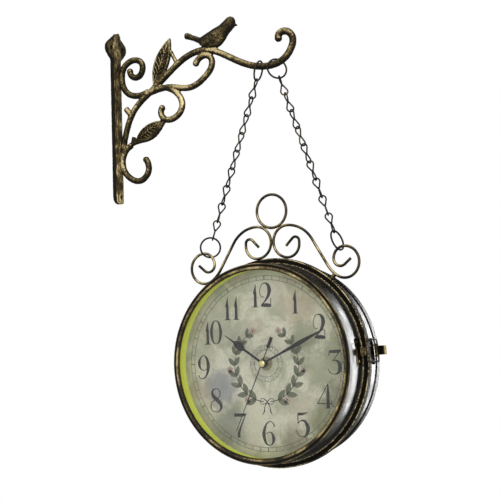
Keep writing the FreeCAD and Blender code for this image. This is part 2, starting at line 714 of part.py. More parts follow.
def hour_hand():
    blob_low, blob_high = 0.50 * hour_hand_length, 0.76 * hour_hand_length
    outline = [(-3.0, 1.2), (blob_low, 1.3)]
    steps = 8
    for i in range(1, steps):
        a = math.pi * i / steps
        h = (blob_low + blob_high) / 2 - (blob_high - blob_low) / 2 * math.cos(a)
        outline.append((h, 1.1 + 3.3 * math.sin(a) ** 1.3))
    outline += [(blob_high, 1.0), (hour_hand_length, 0.35)]
    return flat_hand(outline, hour_y, hour_pipe_radius, 4.8)


def minute_hand():
    length = minute_hand_length
    outline = [(-3.0, 1.1), (0.30 * length, 1.1), (0.56 * length, 2.3), (0.66 * length, 2.3), (length, 0.35)]
    return flat_hand(outline, minute_y, minute_arbor_radius, 4.2)


def second_hand():
    tail = second_tail_length
    neck = -tail + second_tail_block
    outline = [(-tail, 1.9), (neck, 1.9), (neck + 0.01, 0.5), (0.0, 0.55), (second_hand_length, 0.3)]
    blade = flat_hand(outline, second_y, 0.3, 3.0)
    pin = rod_y(second_pin_radius, second_y - hand_thickness, housing_front + 2.4)
    return fused([blade, pin])


def hub_cap():
    """Small domed cap over the hands' centre."""
    radius, height = 3.6, 1.7
    ball = (radius ** 2 + height ** 2) / (2 * height)
    dome = Part.makeSphere(ball, V(0, hub_cap_y - height + ball, 0))
    return dome.common(rod_y(radius, hub_cap_y - height - 1, hub_cap_y))


# ---------------------------------------------------------------- hinge at nine o'clock
hinge_x = -(rim_radius + hinge_knuckle_radius + 0.2)
hinge_leaf_wall = 1.1
hinge_leaf_front = -parting - 3.6
hinge_leaf_width = 9.0
hinge_leaf_half_angle = 6.2
hinge_y = -rim_width / 2
third = hinge_length / 3


def knuckle(z0, z1):
    return rod_z(hinge_knuckle_radius, z0, z1, hinge_x, hinge_y)


def rear_hinge_leaf():
    """Leaf on the middle rim with the two outer knuckles."""
    half = hinge_length / 2
    pad = spun_patch(rim_radius + seat_gap / 2, rim_radius + hinge_leaf_wall, hinge_y, parting - 0.2,
                     hinge_leaf_half_angle, 180.0)
    leaf_pieces = [pad, knuckle(-half, -third / 2 - seat_gap), knuckle(third / 2 + seat_gap, half)]
    whole = fused(leaf_pieces)
    gap = third / 2 + seat_gap
    whole = whole.cut(rod_z(hinge_knuckle_radius + free_gap, -gap, gap, hinge_x, hinge_y))
    return whole.cut(rod_z(hinge_pin_radius, -half - 1, half + 1, hinge_x, hinge_y))


def front_hinge_leaf():
    """Leaf on the front shell with the middle knuckle."""
    half = third / 2
    y1 = hinge_leaf_front
    pad = spun_patch(shell_radius + seat_gap / 2, shell_radius + hinge_leaf_wall, y1 - hinge_leaf_width, y1,
                     hinge_leaf_half_angle, 180.0)
    arm = box(hinge_x - 1.2, -shell_radius - 0.3, y1 - 1.4, y1, -half, half)
    arm = arm.cut(rod_y(shell_radius + seat_gap / 2, y1 - 5, y1 + 5))
    neck = box(hinge_x - 1.2, hinge_x + 1.2, y1 - 1.4, hinge_y, -half, half)
    whole = fused([pad, arm, neck, knuckle(-half, half)])
    return whole.cut(rod_z(hinge_pin_radius + running_gap, -half - 1, half + 1, hinge_x, hinge_y))


def hinge_pin():
    half = hinge_length / 2
    pin = rod_z(hinge_pin_radius, -half - 0.4, half + 0.4, hinge_x, hinge_y)
    heads = [Part.makeSphere(1.7, V(hinge_x, hinge_y, z)).common(
        rod_z(2.0, min(z, z + s * 1.7), max(z, z + s * 1.7), hinge_x, hinge_y))
        for z, s in ((-half - seat_gap, -1), (half + seat_gap, 1))]
    return fused([pin] + heads)


def rivet_heads(middle, spread, y, radius, from_radius):
    """Two domed heads, spread degrees to each side of middle degrees up from three o'clock."""
    heads = []
    for angle in (middle - spread, middle + spread):
        head = Part.makeSphere(radius * 1.25, V(from_radius - radius * 0.75, y, 0))
        head = head.common(Part.makeCylinder(radius, 4, V(from_radius, y, 0), X_AXIS))
        heads.append(turned(head, -angle))
    return Part.makeCompound(heads)


# ---------------------------------------------------------------- draw latch near three o'clock
# The loop lies over the catch's lip; the lever is folded back with the loop's pivot inside its pin.
bail_x = rim_radius + latch_wire
lever_pin = (bail_x + latch_wire, lever_pin_y)
bail_pivot = (bail_x, lever_pin_y + lever_throw)
catch_y = -8.8
lip_top = bail_x - latch_wire / 2 - free_gap
lever_half = 4.8
cheek_in = lever_half + free_gap
cheek_out = cheek_in + 1.2
barrel = 1.9
cheek_round = 2.0
latch_pin_radius = 1.0
plate_thickness = 1.0
catch_plate_front = -17.5
base_plate_back = 24.0
latch_rivet_spread = 5.4
latch_rivet_radius = 1.4
plate_foot = shell_radius + seat_gap / 2


def rod_at(place, radius, half):
    return rod_z(radius, -half, half, place[0], place[1])


def latch_plate(y0, y1):
    half_angle = math.degrees(latch_plate_half / shell_radius)
    return spun_patch(plate_foot, plate_foot + plate_thickness, y0, y1, half_angle)


def latch_catch():
    """Plate on the front shell with an upright tab, its lip bent forward."""
    pad = latch_plate(catch_plate_front, -parting - 3.6)
    top = lip_top
    hook = [(shell_radius - 1, catch_y - 1.2), (top - 1.6, catch_y - 1.2), (top - 1.2, catch_y - 2.6),
            (top - 0.9, catch_y - 2.8), (top, catch_y - 2.2), (top, catch_y - 0.5), (top - 0.6, catch_y),
            (shell_radius - 1, catch_y)]
    points = [V(x, y, -4.2) for x, y in hook]
    tab = Part.Face(Part.makePolygon(points + points[:1])).extrude(V(0, 0, 8.4))
    return fused([pad, tab.cut(rod_y(plate_foot, -30, 0))])


def latch_base():
    """Plate on the rear shell with two cheeks for the lever's pin."""
    metal = [latch_plate(parting + 3.8, base_plate_back)]
    x, y = lever_pin
    for z0, z1 in ((-cheek_out, -cheek_in), (cheek_in, cheek_out)):
        cheek = box(shell_radius - 1, x, y - cheek_round, y + cheek_round, z0, z1)
        cheek = cheek.fuse(rod_z(cheek_round, z0, z1, x, y))
        metal.append(cheek.cut(rod_y(plate_foot, 0, 40)))
    return fused(metal).cut(rod_at(lever_pin, latch_pin_radius, 10))


def latch_pin():
    return rod_at(lever_pin, latch_pin_radius, cheek_out + 0.5)


def latch_lever():
    """Curved lever with pin barrel, loop barrel and a turned-out thumb lip."""
    x, y = lever_pin
    pivot_y, tip = bail_pivot[1], lever_pin_y + lever_reach
    shape = [(x - 0.6, y), (x + 1.4, y), (x + 1.7, pivot_y), (x + 1.2, tip - 5.0), (x + 1.6, tip - 2.4),
             (x + 3.2, tip), (x + 2.4, tip + 0.7), (x + 0.4, tip - 1.6), (x - 0.1, tip - 4.8),
             (x + 0.2, pivot_y)]
    points = [V(px, py, -lever_half) for px, py in shape]
    blade = Part.Face(Part.makePolygon(points + points[:1])).extrude(V(0, 0, 2 * lever_half))
    whole = fused([blade, rod_at(lever_pin, barrel, lever_half), rod_at(bail_pivot, barrel, lever_half)])
    whole = whole.cut(rod_at(lever_pin, latch_pin_radius + running_gap, 20))
    return whole.cut(rod_at(bail_pivot, latch_wire / 2 + running_gap, 20))


def latch_bail():
    """Wire loop from the lever over the rim to the catch."""
    bend = 2.5
    half = latch_half_width
    y0, y1 = catch_y - 1.2 - latch_wire / 2, bail_pivot[1]
    edges = bent_wire((y0, -half + bend), 90.0, [
        ("line", 2 * half - 2 * bend), ("right", bend, 90.0), ("line", y1 - y0 - 2 * bend),
        ("right", bend, 90.0), ("line", 2 * half - 2 * bend), ("right", bend, 90.0),
        ("line", y1 - y0 - 2 * bend), ("right", bend, 90.0)])
    loop = swept(edges, latch_wire / 2)
    loop.rotate(V(0, 0, 0), Z_AXIS, 90)
    return moved(loop, bail_x)


# ---------------------------------------------------------------- assembly
def on_clock(shape, face="front"):
    """Places a shape made about the clock's own centre; rear pieces are half a turn round."""
    copy = turned(shape, 180.0, Z_AXIS) if face == "rear" else shape.copy()
    copy.translate(CLOCK)
    return copy


def at_latch(shape):
    return on_clock(turned(shape, -latch_angle))


nodes = {"bracket_casting": bracket_casting()}
nodes["left_top_ring"] = top_ring("left", ring_drop)[0]
nodes["right_top_ring"] = top_ring("right", ring_drop)[0]
for side, ring_twist, link_twist, step in (("left", -55.0, -40.0, 9.0), ("right", -4.0, -57.0, 12.0)):
    ring, chain_end = bottom_ring(side, ring_twist)
    nodes[side + "_bottom_ring"] = ring
    nodes[side + "_chain"] = chain(chain_top[side], chain_end, link_twist, step)

scroll = right_crown_scroll()
nodes["crown_ring"] = on_clock(crown_ring())
nodes["right_crown_scroll"] = on_clock(scroll)
nodes["left_crown_scroll"] = on_clock(mirrored(scroll))
nodes["middle_rim"] = on_clock(middle_rim())

per_face = {
    "case_shell": case_shell(), "bezel": bezel(), "glass": glass(), "spacer_ring": spacer_ring(),
    "dial": dial(), "movement_housing": movement_housing(), "battery": battery(),
    "battery_contacts": battery_contacts(), "rubber_washer": rubber_washer(), "mounting_nut": mounting_nut(),
    "setting_knob": setting_knob(), "hour_pipe": hour_pipe(), "minute_arbor": minute_arbor(),
    "hour_hand": turned(hour_hand(), hands_time["hour"]),
    "minute_hand": turned(minute_hand(), hands_time["minute"]),
    "second_hand": turned(second_hand(), hands_time["second"]), "hub_cap": hub_cap(),
}
for name, shape in per_face.items():
    for face in ("front", "rear"):
        nodes[face + "_" + name] = on_clock(shape, face)

nodes["rear_hinge_leaf"] = on_clock(rear_hinge_leaf())
nodes["front_hinge_leaf"] = on_clock(front_hinge_leaf())
nodes["hinge_pin"] = on_clock(hinge_pin())
leaf_middle = hinge_leaf_front - hinge_leaf_width / 2
nodes["front_hinge_rivets"] = on_clock(
    rivet_heads(180.0, 3.5, leaf_middle, 1.5, shell_radius + hinge_leaf_wall))
nodes["latch_catch"] = at_latch(latch_catch())
nodes["latch_base"] = at_latch(latch_base())
nodes["latch_pin"] = at_latch(latch_pin())
nodes["latch_lever"] = at_latch(latch_lever())
nodes["latch_bail"] = at_latch(latch_bail())
latch_rivet_rows = {"latch_catch_rivets": catch_plate_front + 3.5,
                    "latch_base_rivets": base_plate_back - 4.5}
for name, y in latch_rivet_rows.items():
    pair = rivet_heads(0.0, latch_rivet_spread, y, latch_rivet_radius, plate_foot + plate_thickness)
    nodes[name] = at_latch(pair)

os.makedirs("parts", exist_ok=True)
for name, shape in nodes.items():
    volume = sum(s.Volume for s in shape.Solids)
    state = "valid" if shape.isValid() else "NOT VALID"
    print(name, len(shape.Solids), "solids", round(volume, 1), "mm3", state)
    shape.exportStep("parts/" + name + ".step")

pivots = {"arm axis": V(hang_reach, 0, seat_height), "left chain": chain_top["left"],
          "right chain": chain_top["right"], "left hang": hang_point["left"],
          "right hang": hang_point["right"], "clock": CLOCK}
for name, place in pivots.items():
    print(name, round(place.x, 4), round(place.y, 4), round(place.z, 4))
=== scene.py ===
"""Looks of a double sided station clock on its cast bracket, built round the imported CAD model.

Metres, in the model's own frame: X away from the wall, Y to the rear dial, Z up. Sizes of grain, zones
of a finish and print are given in millimetres, and MM turns them into metres.
"""

import math

import bpy
from mathutils import Matrix, Vector


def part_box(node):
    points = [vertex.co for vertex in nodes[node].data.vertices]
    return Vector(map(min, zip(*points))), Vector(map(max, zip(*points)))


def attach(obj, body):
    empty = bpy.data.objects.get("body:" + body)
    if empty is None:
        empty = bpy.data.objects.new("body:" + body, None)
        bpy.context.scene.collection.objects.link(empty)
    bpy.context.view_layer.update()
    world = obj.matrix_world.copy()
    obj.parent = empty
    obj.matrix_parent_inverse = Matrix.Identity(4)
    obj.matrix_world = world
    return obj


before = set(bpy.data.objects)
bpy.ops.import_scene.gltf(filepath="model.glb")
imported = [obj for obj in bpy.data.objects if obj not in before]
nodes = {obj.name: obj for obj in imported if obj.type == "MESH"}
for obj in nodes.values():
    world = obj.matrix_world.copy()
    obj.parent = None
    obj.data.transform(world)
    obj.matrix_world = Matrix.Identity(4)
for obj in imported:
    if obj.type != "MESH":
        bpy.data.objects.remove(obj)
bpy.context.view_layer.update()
scene = bpy.context.scene
MM = 0.001
X, Y, Z = range(3)
FACES = ("front", "rear")
SIDES = (-1, 1)
WHITE = (1.0, 1.0, 1.0)

# ---------------------------------------------------------------- places taken from the frame
rim_low, rim_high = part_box("middle_rim")
dial_low, dial_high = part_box("front_dial")
CLOCK = Vector(((rim_low.x + rim_high.x) / 2, 0.0, (rim_low.z + rim_high.z) / 2))
DIAL_FACE = dial_low.y
REAR_TURN = (Matrix.Translation(CLOCK) @ Matrix.Rotation(math.pi, 4, "Z")
             @ Matrix.Translation(-CLOCK))

# ---------------------------------------------------------------- camera
CAMERA_AZIMUTH = 29.6
CAMERA_ELEVATION = -3.11
CAMERA_ROLL = -1.5
CAMERA_DISTANCE = 1.6
CAMERA_LENS, SENSOR_WIDTH = 106.76, 36.0
CAMERA_NEAR, CAMERA_FAR = 0.05, 50.0
CAMERA_SIDE = -24.35 * MM      # how far the view's axis passes beside and above the clock's centre
CAMERA_LIFT = 122.41 * MM


def add_camera():
    azimuth, elevation = math.radians(CAMERA_AZIMUTH), math.radians(CAMERA_ELEVATION)
    back = Vector((math.sin(azimuth) * math.cos(elevation), -math.cos(azimuth) * math.cos(elevation),
                   math.sin(elevation)))
    right = Vector((0, 0, 1)).cross(back).normalized()
    up = back.cross(right)
    roll = math.radians(CAMERA_ROLL)
    rolled_right = right * math.cos(roll) + up * math.sin(roll)
    rolled_up = up * math.cos(roll) - right * math.sin(roll)
    lens = bpy.data.cameras.new("view")
    lens.lens, lens.sensor_width = CAMERA_LENS, SENSOR_WIDTH
    lens.clip_start, lens.clip_end = CAMERA_NEAR, CAMERA_FAR
    camera = bpy.data.objects.new("view", lens)
    scene.collection.objects.link(camera)
    turn = Matrix((rolled_right, rolled_up, back)).transposed().to_4x4()
    place = CLOCK + right * CAMERA_SIDE + up * CAMERA_LIFT + back * CAMERA_DISTANCE
    camera.matrix_world = Matrix.Translation(place) @ turn
    scene.camera = camera


# ---------------------------------------------------------------- materials: colours
def srgb(red, green, blue):
    """A colour as it shows on a screen, 0 to 255, turned scene-linear."""
    shares = [v / 255 for v in (red, green, blue)]
    return tuple(v / 12.92 if v <= 0.04045 else ((v + 0.055) / 1.055) ** 2.4 for v in shares)


BLACK_BROWN = srgb(22, 18, 9)
SOOT = srgb(14, 12, 7)
OLD_GOLD = srgb(214, 196, 146)
OLIVE_BRONZE = srgb(92, 78, 46)
BRONZE_FULL, GOLD_STARTS = 0.55, 0.5      # how far paint is rubbed when each shows


# ---------------------------------------------------------------- materials: node helpers
class Look:
    """A procedural material that is put together from small steps, each giving a socket."""

    def __init__(self, name):
        self.material = bpy.data.materials.new(name)
        self.material.use_nodes = True
        self.tree = self.material.node_tree
        self.surface = self.tree.nodes["Principled BSDF"]
        place = self.tree.nodes.new("ShaderNodeTexCoord")
        self.place, self.normal = place.outputs["Object"], place.outputs["Normal"]

    def put(self, value, socket):
        if isinstance(value, bpy.types.NodeSocket):
            self.tree.links.new(value, socket)
        elif socket.type == "RGBA":
            socket.default_value = (*value, 1.0)
        else:
            socket.default_value = value

    def node(self, kind, inputs, **settings):
        made = self.tree.nodes.new("ShaderNode" + kind)
        for name, value in settings.items():
            setattr(made, name, value)
        for name, value in inputs.items():
            self.put(value, made.inputs[name])
        return made

    # numbers
    def maths(self, operation, a, b=0.0, clamp=False):
        return self.node("Math", {0: a, 1: b}, operation=operation, use_clamp=clamp).outputs[0]

    def times(self, a, b):
        return self.maths("MULTIPLY", a, b)

    def less(self, a, b, clamp=False):
        return self.maths("SUBTRACT", a, b, clamp)

    def absolute(self, value):
        return self.maths("ABSOLUTE", value)

    def total(self, result, *others):
        for other in others:
            result = self.maths("ADD", result, other)
        return result

    def around(self, noise, strength):
        """A noise value centred on 0 and scaled."""
        return self.times(self.less(noise, 0.5), strength)

    def step(self, value, low, high):
        """0 below low, 1 above high, smooth between; low above high turns it round."""
        inputs = {"Value": value, "From Min": low, "From Max": high}
        return self.node("MapRange", inputs, interpolation_type="SMOOTHSTEP").outputs[0]

    def band(self, value, low, high, soft):
        """1 between low and high."""
        return self.times(self.step(value, low - soft, low + soft),
                          self.step(value, high + soft, high - soft))

    def between(self, share, a, b):
        """A number that goes from a to b as share goes from 0 to 1."""
        return self.node("Mix", {0: share, 2: a, 3: b}, data_type="FLOAT").outputs[0]

    # places and directions
    def vector(self, operation, a, b=(0, 0, 0)):
        return self.node("VectorMath", {0: a, 1: b}, operation=operation)

    def part(self, vector, axis):
        return self.node("SeparateXYZ", {0: vector}).outputs[axis]

    def along(self, axis):
        """Place along an axis of the frame, in millimetres."""
        return self.times(self.part(self.place, axis), 1 / MM)

    def radius(self):
        """Distance from the clock's axis, in millimetres."""
        offset = self.vector("SUBTRACT", self.place, tuple(CLOCK)).outputs[0]
        flat = self.vector("MULTIPLY", offset, (1 / MM, 0.0, 1 / MM)).outputs[0]
        return self.vector("LENGTH", flat).outputs[1]

    def distance(self, point):
        """Distance from a point, in metres."""
        away = self.vector("SUBTRACT", self.place, tuple(point)).outputs[0]
        return self.vector("LENGTH", away).outputs[1]

    def sideways(self):
        """1 on faces that look to either dial's side, 0 on those seen edge on from there."""
        return self.absolute(self.part(self.normal, Y))

    def crest(self, side, up, out):
        """How much gold a face gets from the way it faces: the brush's reach, and a painted highlight on
        faces turned sideways, up and off the wall; shares for each.
        """
        return self.total(self.times(self.sideways(), side), self.times(self.part(self.normal, Z), up),
                          self.times(self.part(self.normal, X), out))

    # patterns
    def noise(self, size, detail=3.0, roughness=0.55, stretch=None, distortion=0.0):
        """Noise whose features are about size millimetres across."""
        place = self.place if stretch is None else self.vector("MULTIPLY", self.place, stretch).outputs[0]
        inputs = {"Vector": place, "Scale": 1 / (size * MM), "Detail": detail, "Roughness": roughness,
                  "Distortion": distortion}
        return self.node("TexNoise", inputs).outputs[0]

    # colours
    def mix(self, share, a, b):
        """A colour that goes from a to b as share goes from 0 to 1."""
        return self.node("Mix", {0: share, 6: a, 7: b}, data_type="RGBA").outputs[2]

    def tinted(self, colour, tint, share, strength):
        """The colour, tinted by at most strength where share is 1."""
        return self.mix(self.times(share, strength), colour, tint)

    def grown_gold(self, rub, dark=BLACK_BROWN):
        """Dark paint that goes over bronze to gold as rub goes from 0 to 1; on the arm and the wires rub
        also holds a painted highlight.
        """
        bronze = self.mix(self.step(rub, 0.0, BRONZE_FULL), dark, OLIVE_BRONZE)
        return self.mix(self.step(rub, GOLD_STARTS, 1.0), bronze, OLD_GOLD)

    # the surface
    def bump(self, height, depth):
        """Relief of a depth in millimetres."""
        made = self.node("Bump", {"Height": height, "Distance": depth * MM, "Strength": 1.0})
        self.put(made.outputs[0], self.surface.inputs["Normal"])

    def done(self, colour, roughness, metallic=0.0, specular=0.5):
        for name, value in (("Base Color", colour), ("Roughness", roughness), ("Metallic", metallic),
                            ("Specular IOR Level", specular)):
            self.put(value, self.surface.inputs[name])
        return self.material

    def blended(self, share, under, above):
        """The material shows the shader under, and the one above as share goes to 1."""
        mixed = self.node("MixShader", {0: share, 1: under, 2: above}).outputs[0]
        self.put(mixed, self.tree.nodes["Material Output"].inputs["Surface"])
        return self.material


# ---------------------------------------------------------------- materials: bracket and wires
# Zones of the casting, in mm: where each starts and where it is full, and for a band its two sides and
# how soft they are. OUT is from the wall, UP is height, IN is from the casting's middle plane.
BAR_OUT, BAR_TOP_UP = (9.0, 7.0), (-28.0, -18.0)
BIRD_OUT, BIRD_UP = (94.0, 168.0, 2.0), (-17.0, -13.0)
FIELD_IN = (1.7, 1.1)
LOW_SCROLLS_OUT, LOW_SCROLLS_UP = (9.0, 14.0), (-84.0, -112.0)
ARM_END_OUT = (140.0, 172.0)
CURL_OUT, CURL_UP = (10.0, 44.0, 4.0), (-72.0, -62.0)
BACK_EDGE_OUT = (4.6, 3.6)
BAR_CREST, BAR_TOP_CREST = 0.66, 0.63      # the bar is brushed evenly, and a little less at its top
GOLD_LOST = {"bird": 0.16, "fields": 0.15, "low scrolls": 0.16, "arm's end": 0.07, "curl": 0.1}


def cast_bronze(name, lift=0.0):
    """Sand-cast arm: black by the wall and in its fields, dry-brushed with gold where it stands out, and
    with a painted gold highlight on faces turned sideways, up and off the wall.
    """
    look = Look(name)
    out, up, inner = look.along(X), look.along(Z), look.absolute(look.along(Y))
    on_bar = look.step(out, *BAR_OUT)
    bar_crest = look.between(look.step(up, *BAR_TOP_UP), BAR_CREST, BAR_TOP_CREST)
    # Off the bar, look.crest adds a painted gold highlight to faces turned sideways, up and off the wall;
    # the bar gets an even share instead.
    crest = look.between(on_bar, look.crest(side=0.7, up=0.34, out=0.3), bar_crest)
    zones = {
        "bird": look.times(look.band(out, *BIRD_OUT), look.step(up, *BIRD_UP)),
        "fields": look.times(look.step(inner, *FIELD_IN), look.sideways()),
        "low scrolls": look.times(look.step(up, *LOW_SCROLLS_UP), look.step(out, *LOW_SCROLLS_OUT)),
        "arm's end": look.step(out, *ARM_END_OUT),
        "curl": look.times(look.band(out, *CURL_OUT), look.step(up, *CURL_UP)),
    }
    fine = look.noise(1.5, detail=5.0, roughness=0.75)
    drawn_out = look.noise(1.3, detail=5.0, roughness=0.75, stretch=(1.0, 1.0, 0.14))
    grain = look.between(on_bar, fine, drawn_out)
    patches = look.noise(26, detail=4.0, roughness=0.6)
    wear_and_highlight = look.total(crest, look.around(grain, 1.15), look.around(patches, 1.0), lift)
    for zone, place in zones.items():
        wear_and_highlight = look.less(wear_and_highlight, look.times(place, GOLD_LOST[zone]))
    wear_and_highlight = look.less(look.step(wear_and_highlight, 0.4, 0.94), look.step(out, *BACK_EDGE_OUT), clamp=True)
    look.bump(fine, 0.2)
    return look.done(look.grown_gold(wear_and_highlight), look.between(wear_and_highlight, 0.72, 0.47), look.step(wear_and_highlight, 0.15, 0.8),
                     specular=0.12)


def rubbed_and_highlit_wire(name, amount, rough=0.5, gloss=0.2):
    """Painted wire with gold brushed along parts of it, and a painted gold highlight on faces turned
    sideways, up and off the wall.
    """
    look = Look(name)
    patches = look.noise(22, roughness=0.5)
    grain = look.noise(0.9, detail=4.0, roughness=0.65)
    # rub holds both the brushed gold and the painted highlight that look.crest gives to faces turned
    # sideways, up and off the wall.
    rub = look.total(look.crest(side=0.6, up=0.3, out=0.22), look.around(grain, 0.5),
                     look.around(patches, 1.2), amount)
    rub = look.step(rub, 0.6, 1.1)
    look.bump(grain, 0.1)
    return look.done(look.grown_gold(rub, SOOT), rough, look.step(rub, 0.1, 0.7), specular=gloss)


# ---------------------------------------------------------------- materials: case
# Places on the case, in mm: radii from the clock's axis, or for the corner the distance from its
# middle plane. A band ends with how soft its sides are.
DRUM_EDGE = (106.6, 107.5)
HOOP_CREST = (111.4, 112.2)
HOOP_CORNER_WIDTH = (1.1, 0.4)
BEZEL_LIP, BEZEL_CREST, BEZEL_BEAD = (100.4, 99.8), (100.6, 103.2, 0.6), (105.0, 106.3)
BEZEL_SKIRT, BEZEL_CORNER = (106.1, 106.6), (35.6, 36.8)
BEZEL_GOLD = {"crest": 0.95, "bead": 0.8, "lip": 0.5}


def drum_paint():
    """Glossy black-brown stove enamel with fine gold dust and a rubbed edge."""
    look = Look("drum_paint")
    dust = look.step(look.noise(0.9, detail=5.0, roughness=0.75), 0.62, 0.74)
    smoke = look.step(look.noise(26, detail=4.0, roughness=0.6, stretch=(1.0, 0.5, 1.0)), 0.42, 0.66)
    edge = look.step(look.radius(), *DRUM_EDGE)
    grain = look.noise(1.6, detail=4.0, roughness=0.7)
    rub = look.total(look.times(dust, look.times(smoke, 0.3)), look.times(edge, look.step(grain, 0.4, 0.6)))
    look.bump(look.noise(5, detail=2.0), 0.12)
    return look.done(look.grown_gold(rub, SOOT), look.between(smoke, 0.27, 0.41), specular=0.3)


def rim_paint():
    """Black hoop with grey-gold dust and a gold line rubbed along both corners."""
    look = Look("rim_paint")
    middle = (rim_low.y + rim_high.y) / 2 / MM
    half = (rim_high.y - rim_low.y) / 2 / MM
    off_middle = look.absolute(look.less(look.along(Y), middle))
    at_corner = look.step(off_middle, *(half - width for width in HOOP_CORNER_WIDTH))
    corner = look.times(look.step(look.radius(), *HOOP_CREST), at_corner)
    grain = look.noise(1.5, detail=5.0, roughness=0.75)
    patches = look.noise(24, roughness=0.6)
    dust = look.step(look.noise(1.0, detail=5.0, roughness=0.75), 0.58, 0.72)
    broken = look.step(look.total(grain, look.around(patches, 0.8)), 0.4, 0.6)
    rub = look.total(look.times(dust, look.times(patches, 0.5)), look.times(corner, broken))
    look.bump(grain, 0.15)
    return look.done(look.grown_gold(rub, SOOT), 0.6, 0.1, specular=0.1)


def bezel_paint():
    """Rolled bezel: gold on its crest and outer corner, black speckle in grooves, enamelled skirt."""
    look = Look("bezel_paint")
    radius = look.radius()
    corner = look.step(look.absolute(look.along(Y)), *BEZEL_CORNER)
    skirt = look.times(look.step(radius, *BEZEL_SKIRT), look.less(1.0, corner))
    grain = look.noise(0.8, detail=5.0, roughness=0.75)
    patches = look.noise(24, detail=5.0, roughness=0.6)
    zones = {
        "crest": look.band(radius, *BEZEL_CREST),
        "bead": look.times(look.step(radius, *BEZEL_BEAD), corner),
        "lip": look.step(radius, *BEZEL_LIP),
    }
    rub = look.total(*(look.times(place, BEZEL_GOLD[zone]) for zone, place in zones.items()))
    rub = look.times(rub, look.step(look.total(grain, look.around(patches, 0.8)), 0.36, 0.66))
    look.bump(grain, 0.2)
    return look.done(look.grown_gold(rub, SOOT), look.between(skirt, 0.6, 0.3), look.step(rub, 0.1, 0.7),
                     specular=0.22)


def clear_glass():
    """Clear pane: mirrors a little, more at a slant, and lets the rest through."""
    look = Look("clear_glass")
    fresnel = look.node("Fresnel", {"IOR": 1.5}).outputs[0]
    smear = look.step(look.noise(30), 0.3, 0.9)
    gloss = look.node("BsdfAnisotropic", {"Color": WHITE, "Roughness": 0.03})
    clear = look.node("BsdfTransparent", {"Color": (0.985, 0.99, 0.985)})
    look.tree.nodes.remove(look.surface)
    return look.blended(look.times(fresnel, look.between(smear, 0.5, 0.62)), clear.outputs[0],
                        gloss.outputs[0])


# ---------------------------------------------------------------- materials: dial and hands
# blotches on the dial, in mm: across and up from its centre, reach, colour on screen, strength
DIAL_BLOTCHES = (
    (-56, -26, 27, (146, 147, 156), 0.8), (-44, -66, 34, (126, 128, 118), 0.75),
    (-58, 40, 30, (158, 160, 136), 0.6), (-30, 34, 22, (164, 166, 146), 0.5),
    (2, 84, 30, (222, 220, 204), 0.8), (40, 58, 28, (198, 182, 156), 0.75),
    (46, 26, 26, (152, 156, 120), 0.7), (66, -6, 30, (160, 162, 132), 0.6),
    (68, -60, 30, (128, 130, 88), 0.8), (32, -84, 26, (136, 128, 100), 0.75),
    (-14, -62, 28, (226, 222, 200), 0.8), (44, -46, 20, (206, 200, 176), 0.6),
    (84, 10, 26, (140, 142, 108), 0.7), (82, -36, 22, (124, 122, 100), 0.75),
    (-78, 12, 22, (164, 166, 142), 0.5), (20, -40, 22, (176, 180, 150), 0.5),
)
BLOTCH_WANDER = 30.0         # how far a blotch's outline strays, in mm
BLOTCH_CORE = 0.35           # share of its reach that has the full tint
# Towards the dial's rim, painted shade of the recess it sits in darkens it.
EDGE_SHADE = (84.0, 106.0)  # radii between which the dial darkens


def dial_paper():
    """Dial print: greenish beige with pink, grey-blue and olive blotches, and painted shade darkening it
    towards its edge.
    """
    look = Look("dial_paper")
    clouds = look.noise(30, detail=5.0, roughness=0.62, distortion=0.8)
    fine = look.noise(6, detail=5.0, roughness=0.68, distortion=0.4)
    pink = look.noise(40, detail=4.0, roughness=0.6, stretch=(1.0, 1.0, 1.35))
    speck = look.noise(2.2, detail=5.0, roughness=0.75)
    weave = look.noise(1.6, detail=4.0, roughness=0.7, stretch=(1.0, 1.0, 0.35))
    colour = look.mix(look.step(clouds, 0.4, 0.62), srgb(230, 226, 206), srgb(186, 188, 160))
    colour = look.tinted(colour, srgb(196, 180, 160), look.step(pink, 0.5, 0.66), 0.7)
    wander = look.around(fine, BLOTCH_WANDER * MM)
    for x, z, reach, tint, strength in DIAL_BLOTCHES:
        for sign in SIDES:      # the rear dial is the front one turned about
            centre = CLOCK + Vector((sign * x * MM, sign * DIAL_FACE, z * MM))
            blot = look.step(look.total(look.distance(centre), wander), reach * MM, reach * MM * BLOTCH_CORE)
            colour = look.tinted(colour, srgb(*tint), blot, strength)
    colour = look.tinted(colour, srgb(116, 118, 98), look.step(speck, 0.54, 0.74), 0.4)
    colour = look.tinted(colour, srgb(150, 148, 124), look.step(weave, 0.42, 0.66), 0.22)
    # painted shade: darker towards the rim of the recess the dial sits in
    colour = look.tinted(colour, srgb(112, 114, 92), look.step(look.radius(), *EDGE_SHADE), 0.55)
    printed = look.step(look.absolute(look.part(look.place, Y)), abs(dial_high.y), abs(DIAL_FACE))
    plain_back = look.mix(fine, srgb(150, 144, 126), srgb(128, 122, 104))
    look.bump(fine, 0.02)
    return look.done(look.mix(printed, plain_back, colour), 0.68)


def spacer_card():
    """Yellow-green card wall between dial and glass."""
    look = Look("spacer_card")
    fibre = look.noise(0.8, detail=4.0, roughness=0.7, stretch=(1.0, 0.3, 1.0))
    cloud = look.noise(30, detail=2.0)
    colour = look.tinted(srgb(248, 255, 84), srgb(240, 252, 78), cloud, 0.6)
    colour = look.tinted(colour, srgb(160, 182, 50), fibre, 0.1)
    look.bump(fibre, 0.04)
    return look.done(colour, 0.62)


def ink(name, colour, faded):
    """Printed ink that has worn through a little."""
    look = Look(name)
    wear = look.step(look.noise(2.4, detail=5.0, roughness=0.7), 0.46, 0.72)
    return look.done(look.tinted(colour, faded, wear, 0.55), 0.62)


def hand_black():
    """Matt black lacquer on the stamped hands."""
    look = Look("hand_black")
    grain = look.noise(0.7)
    look.bump(grain, 0.02)
    return look.done(look.mix(grain, srgb(14, 15, 13), srgb(24, 25, 22)), 0.6, specular=0.2)


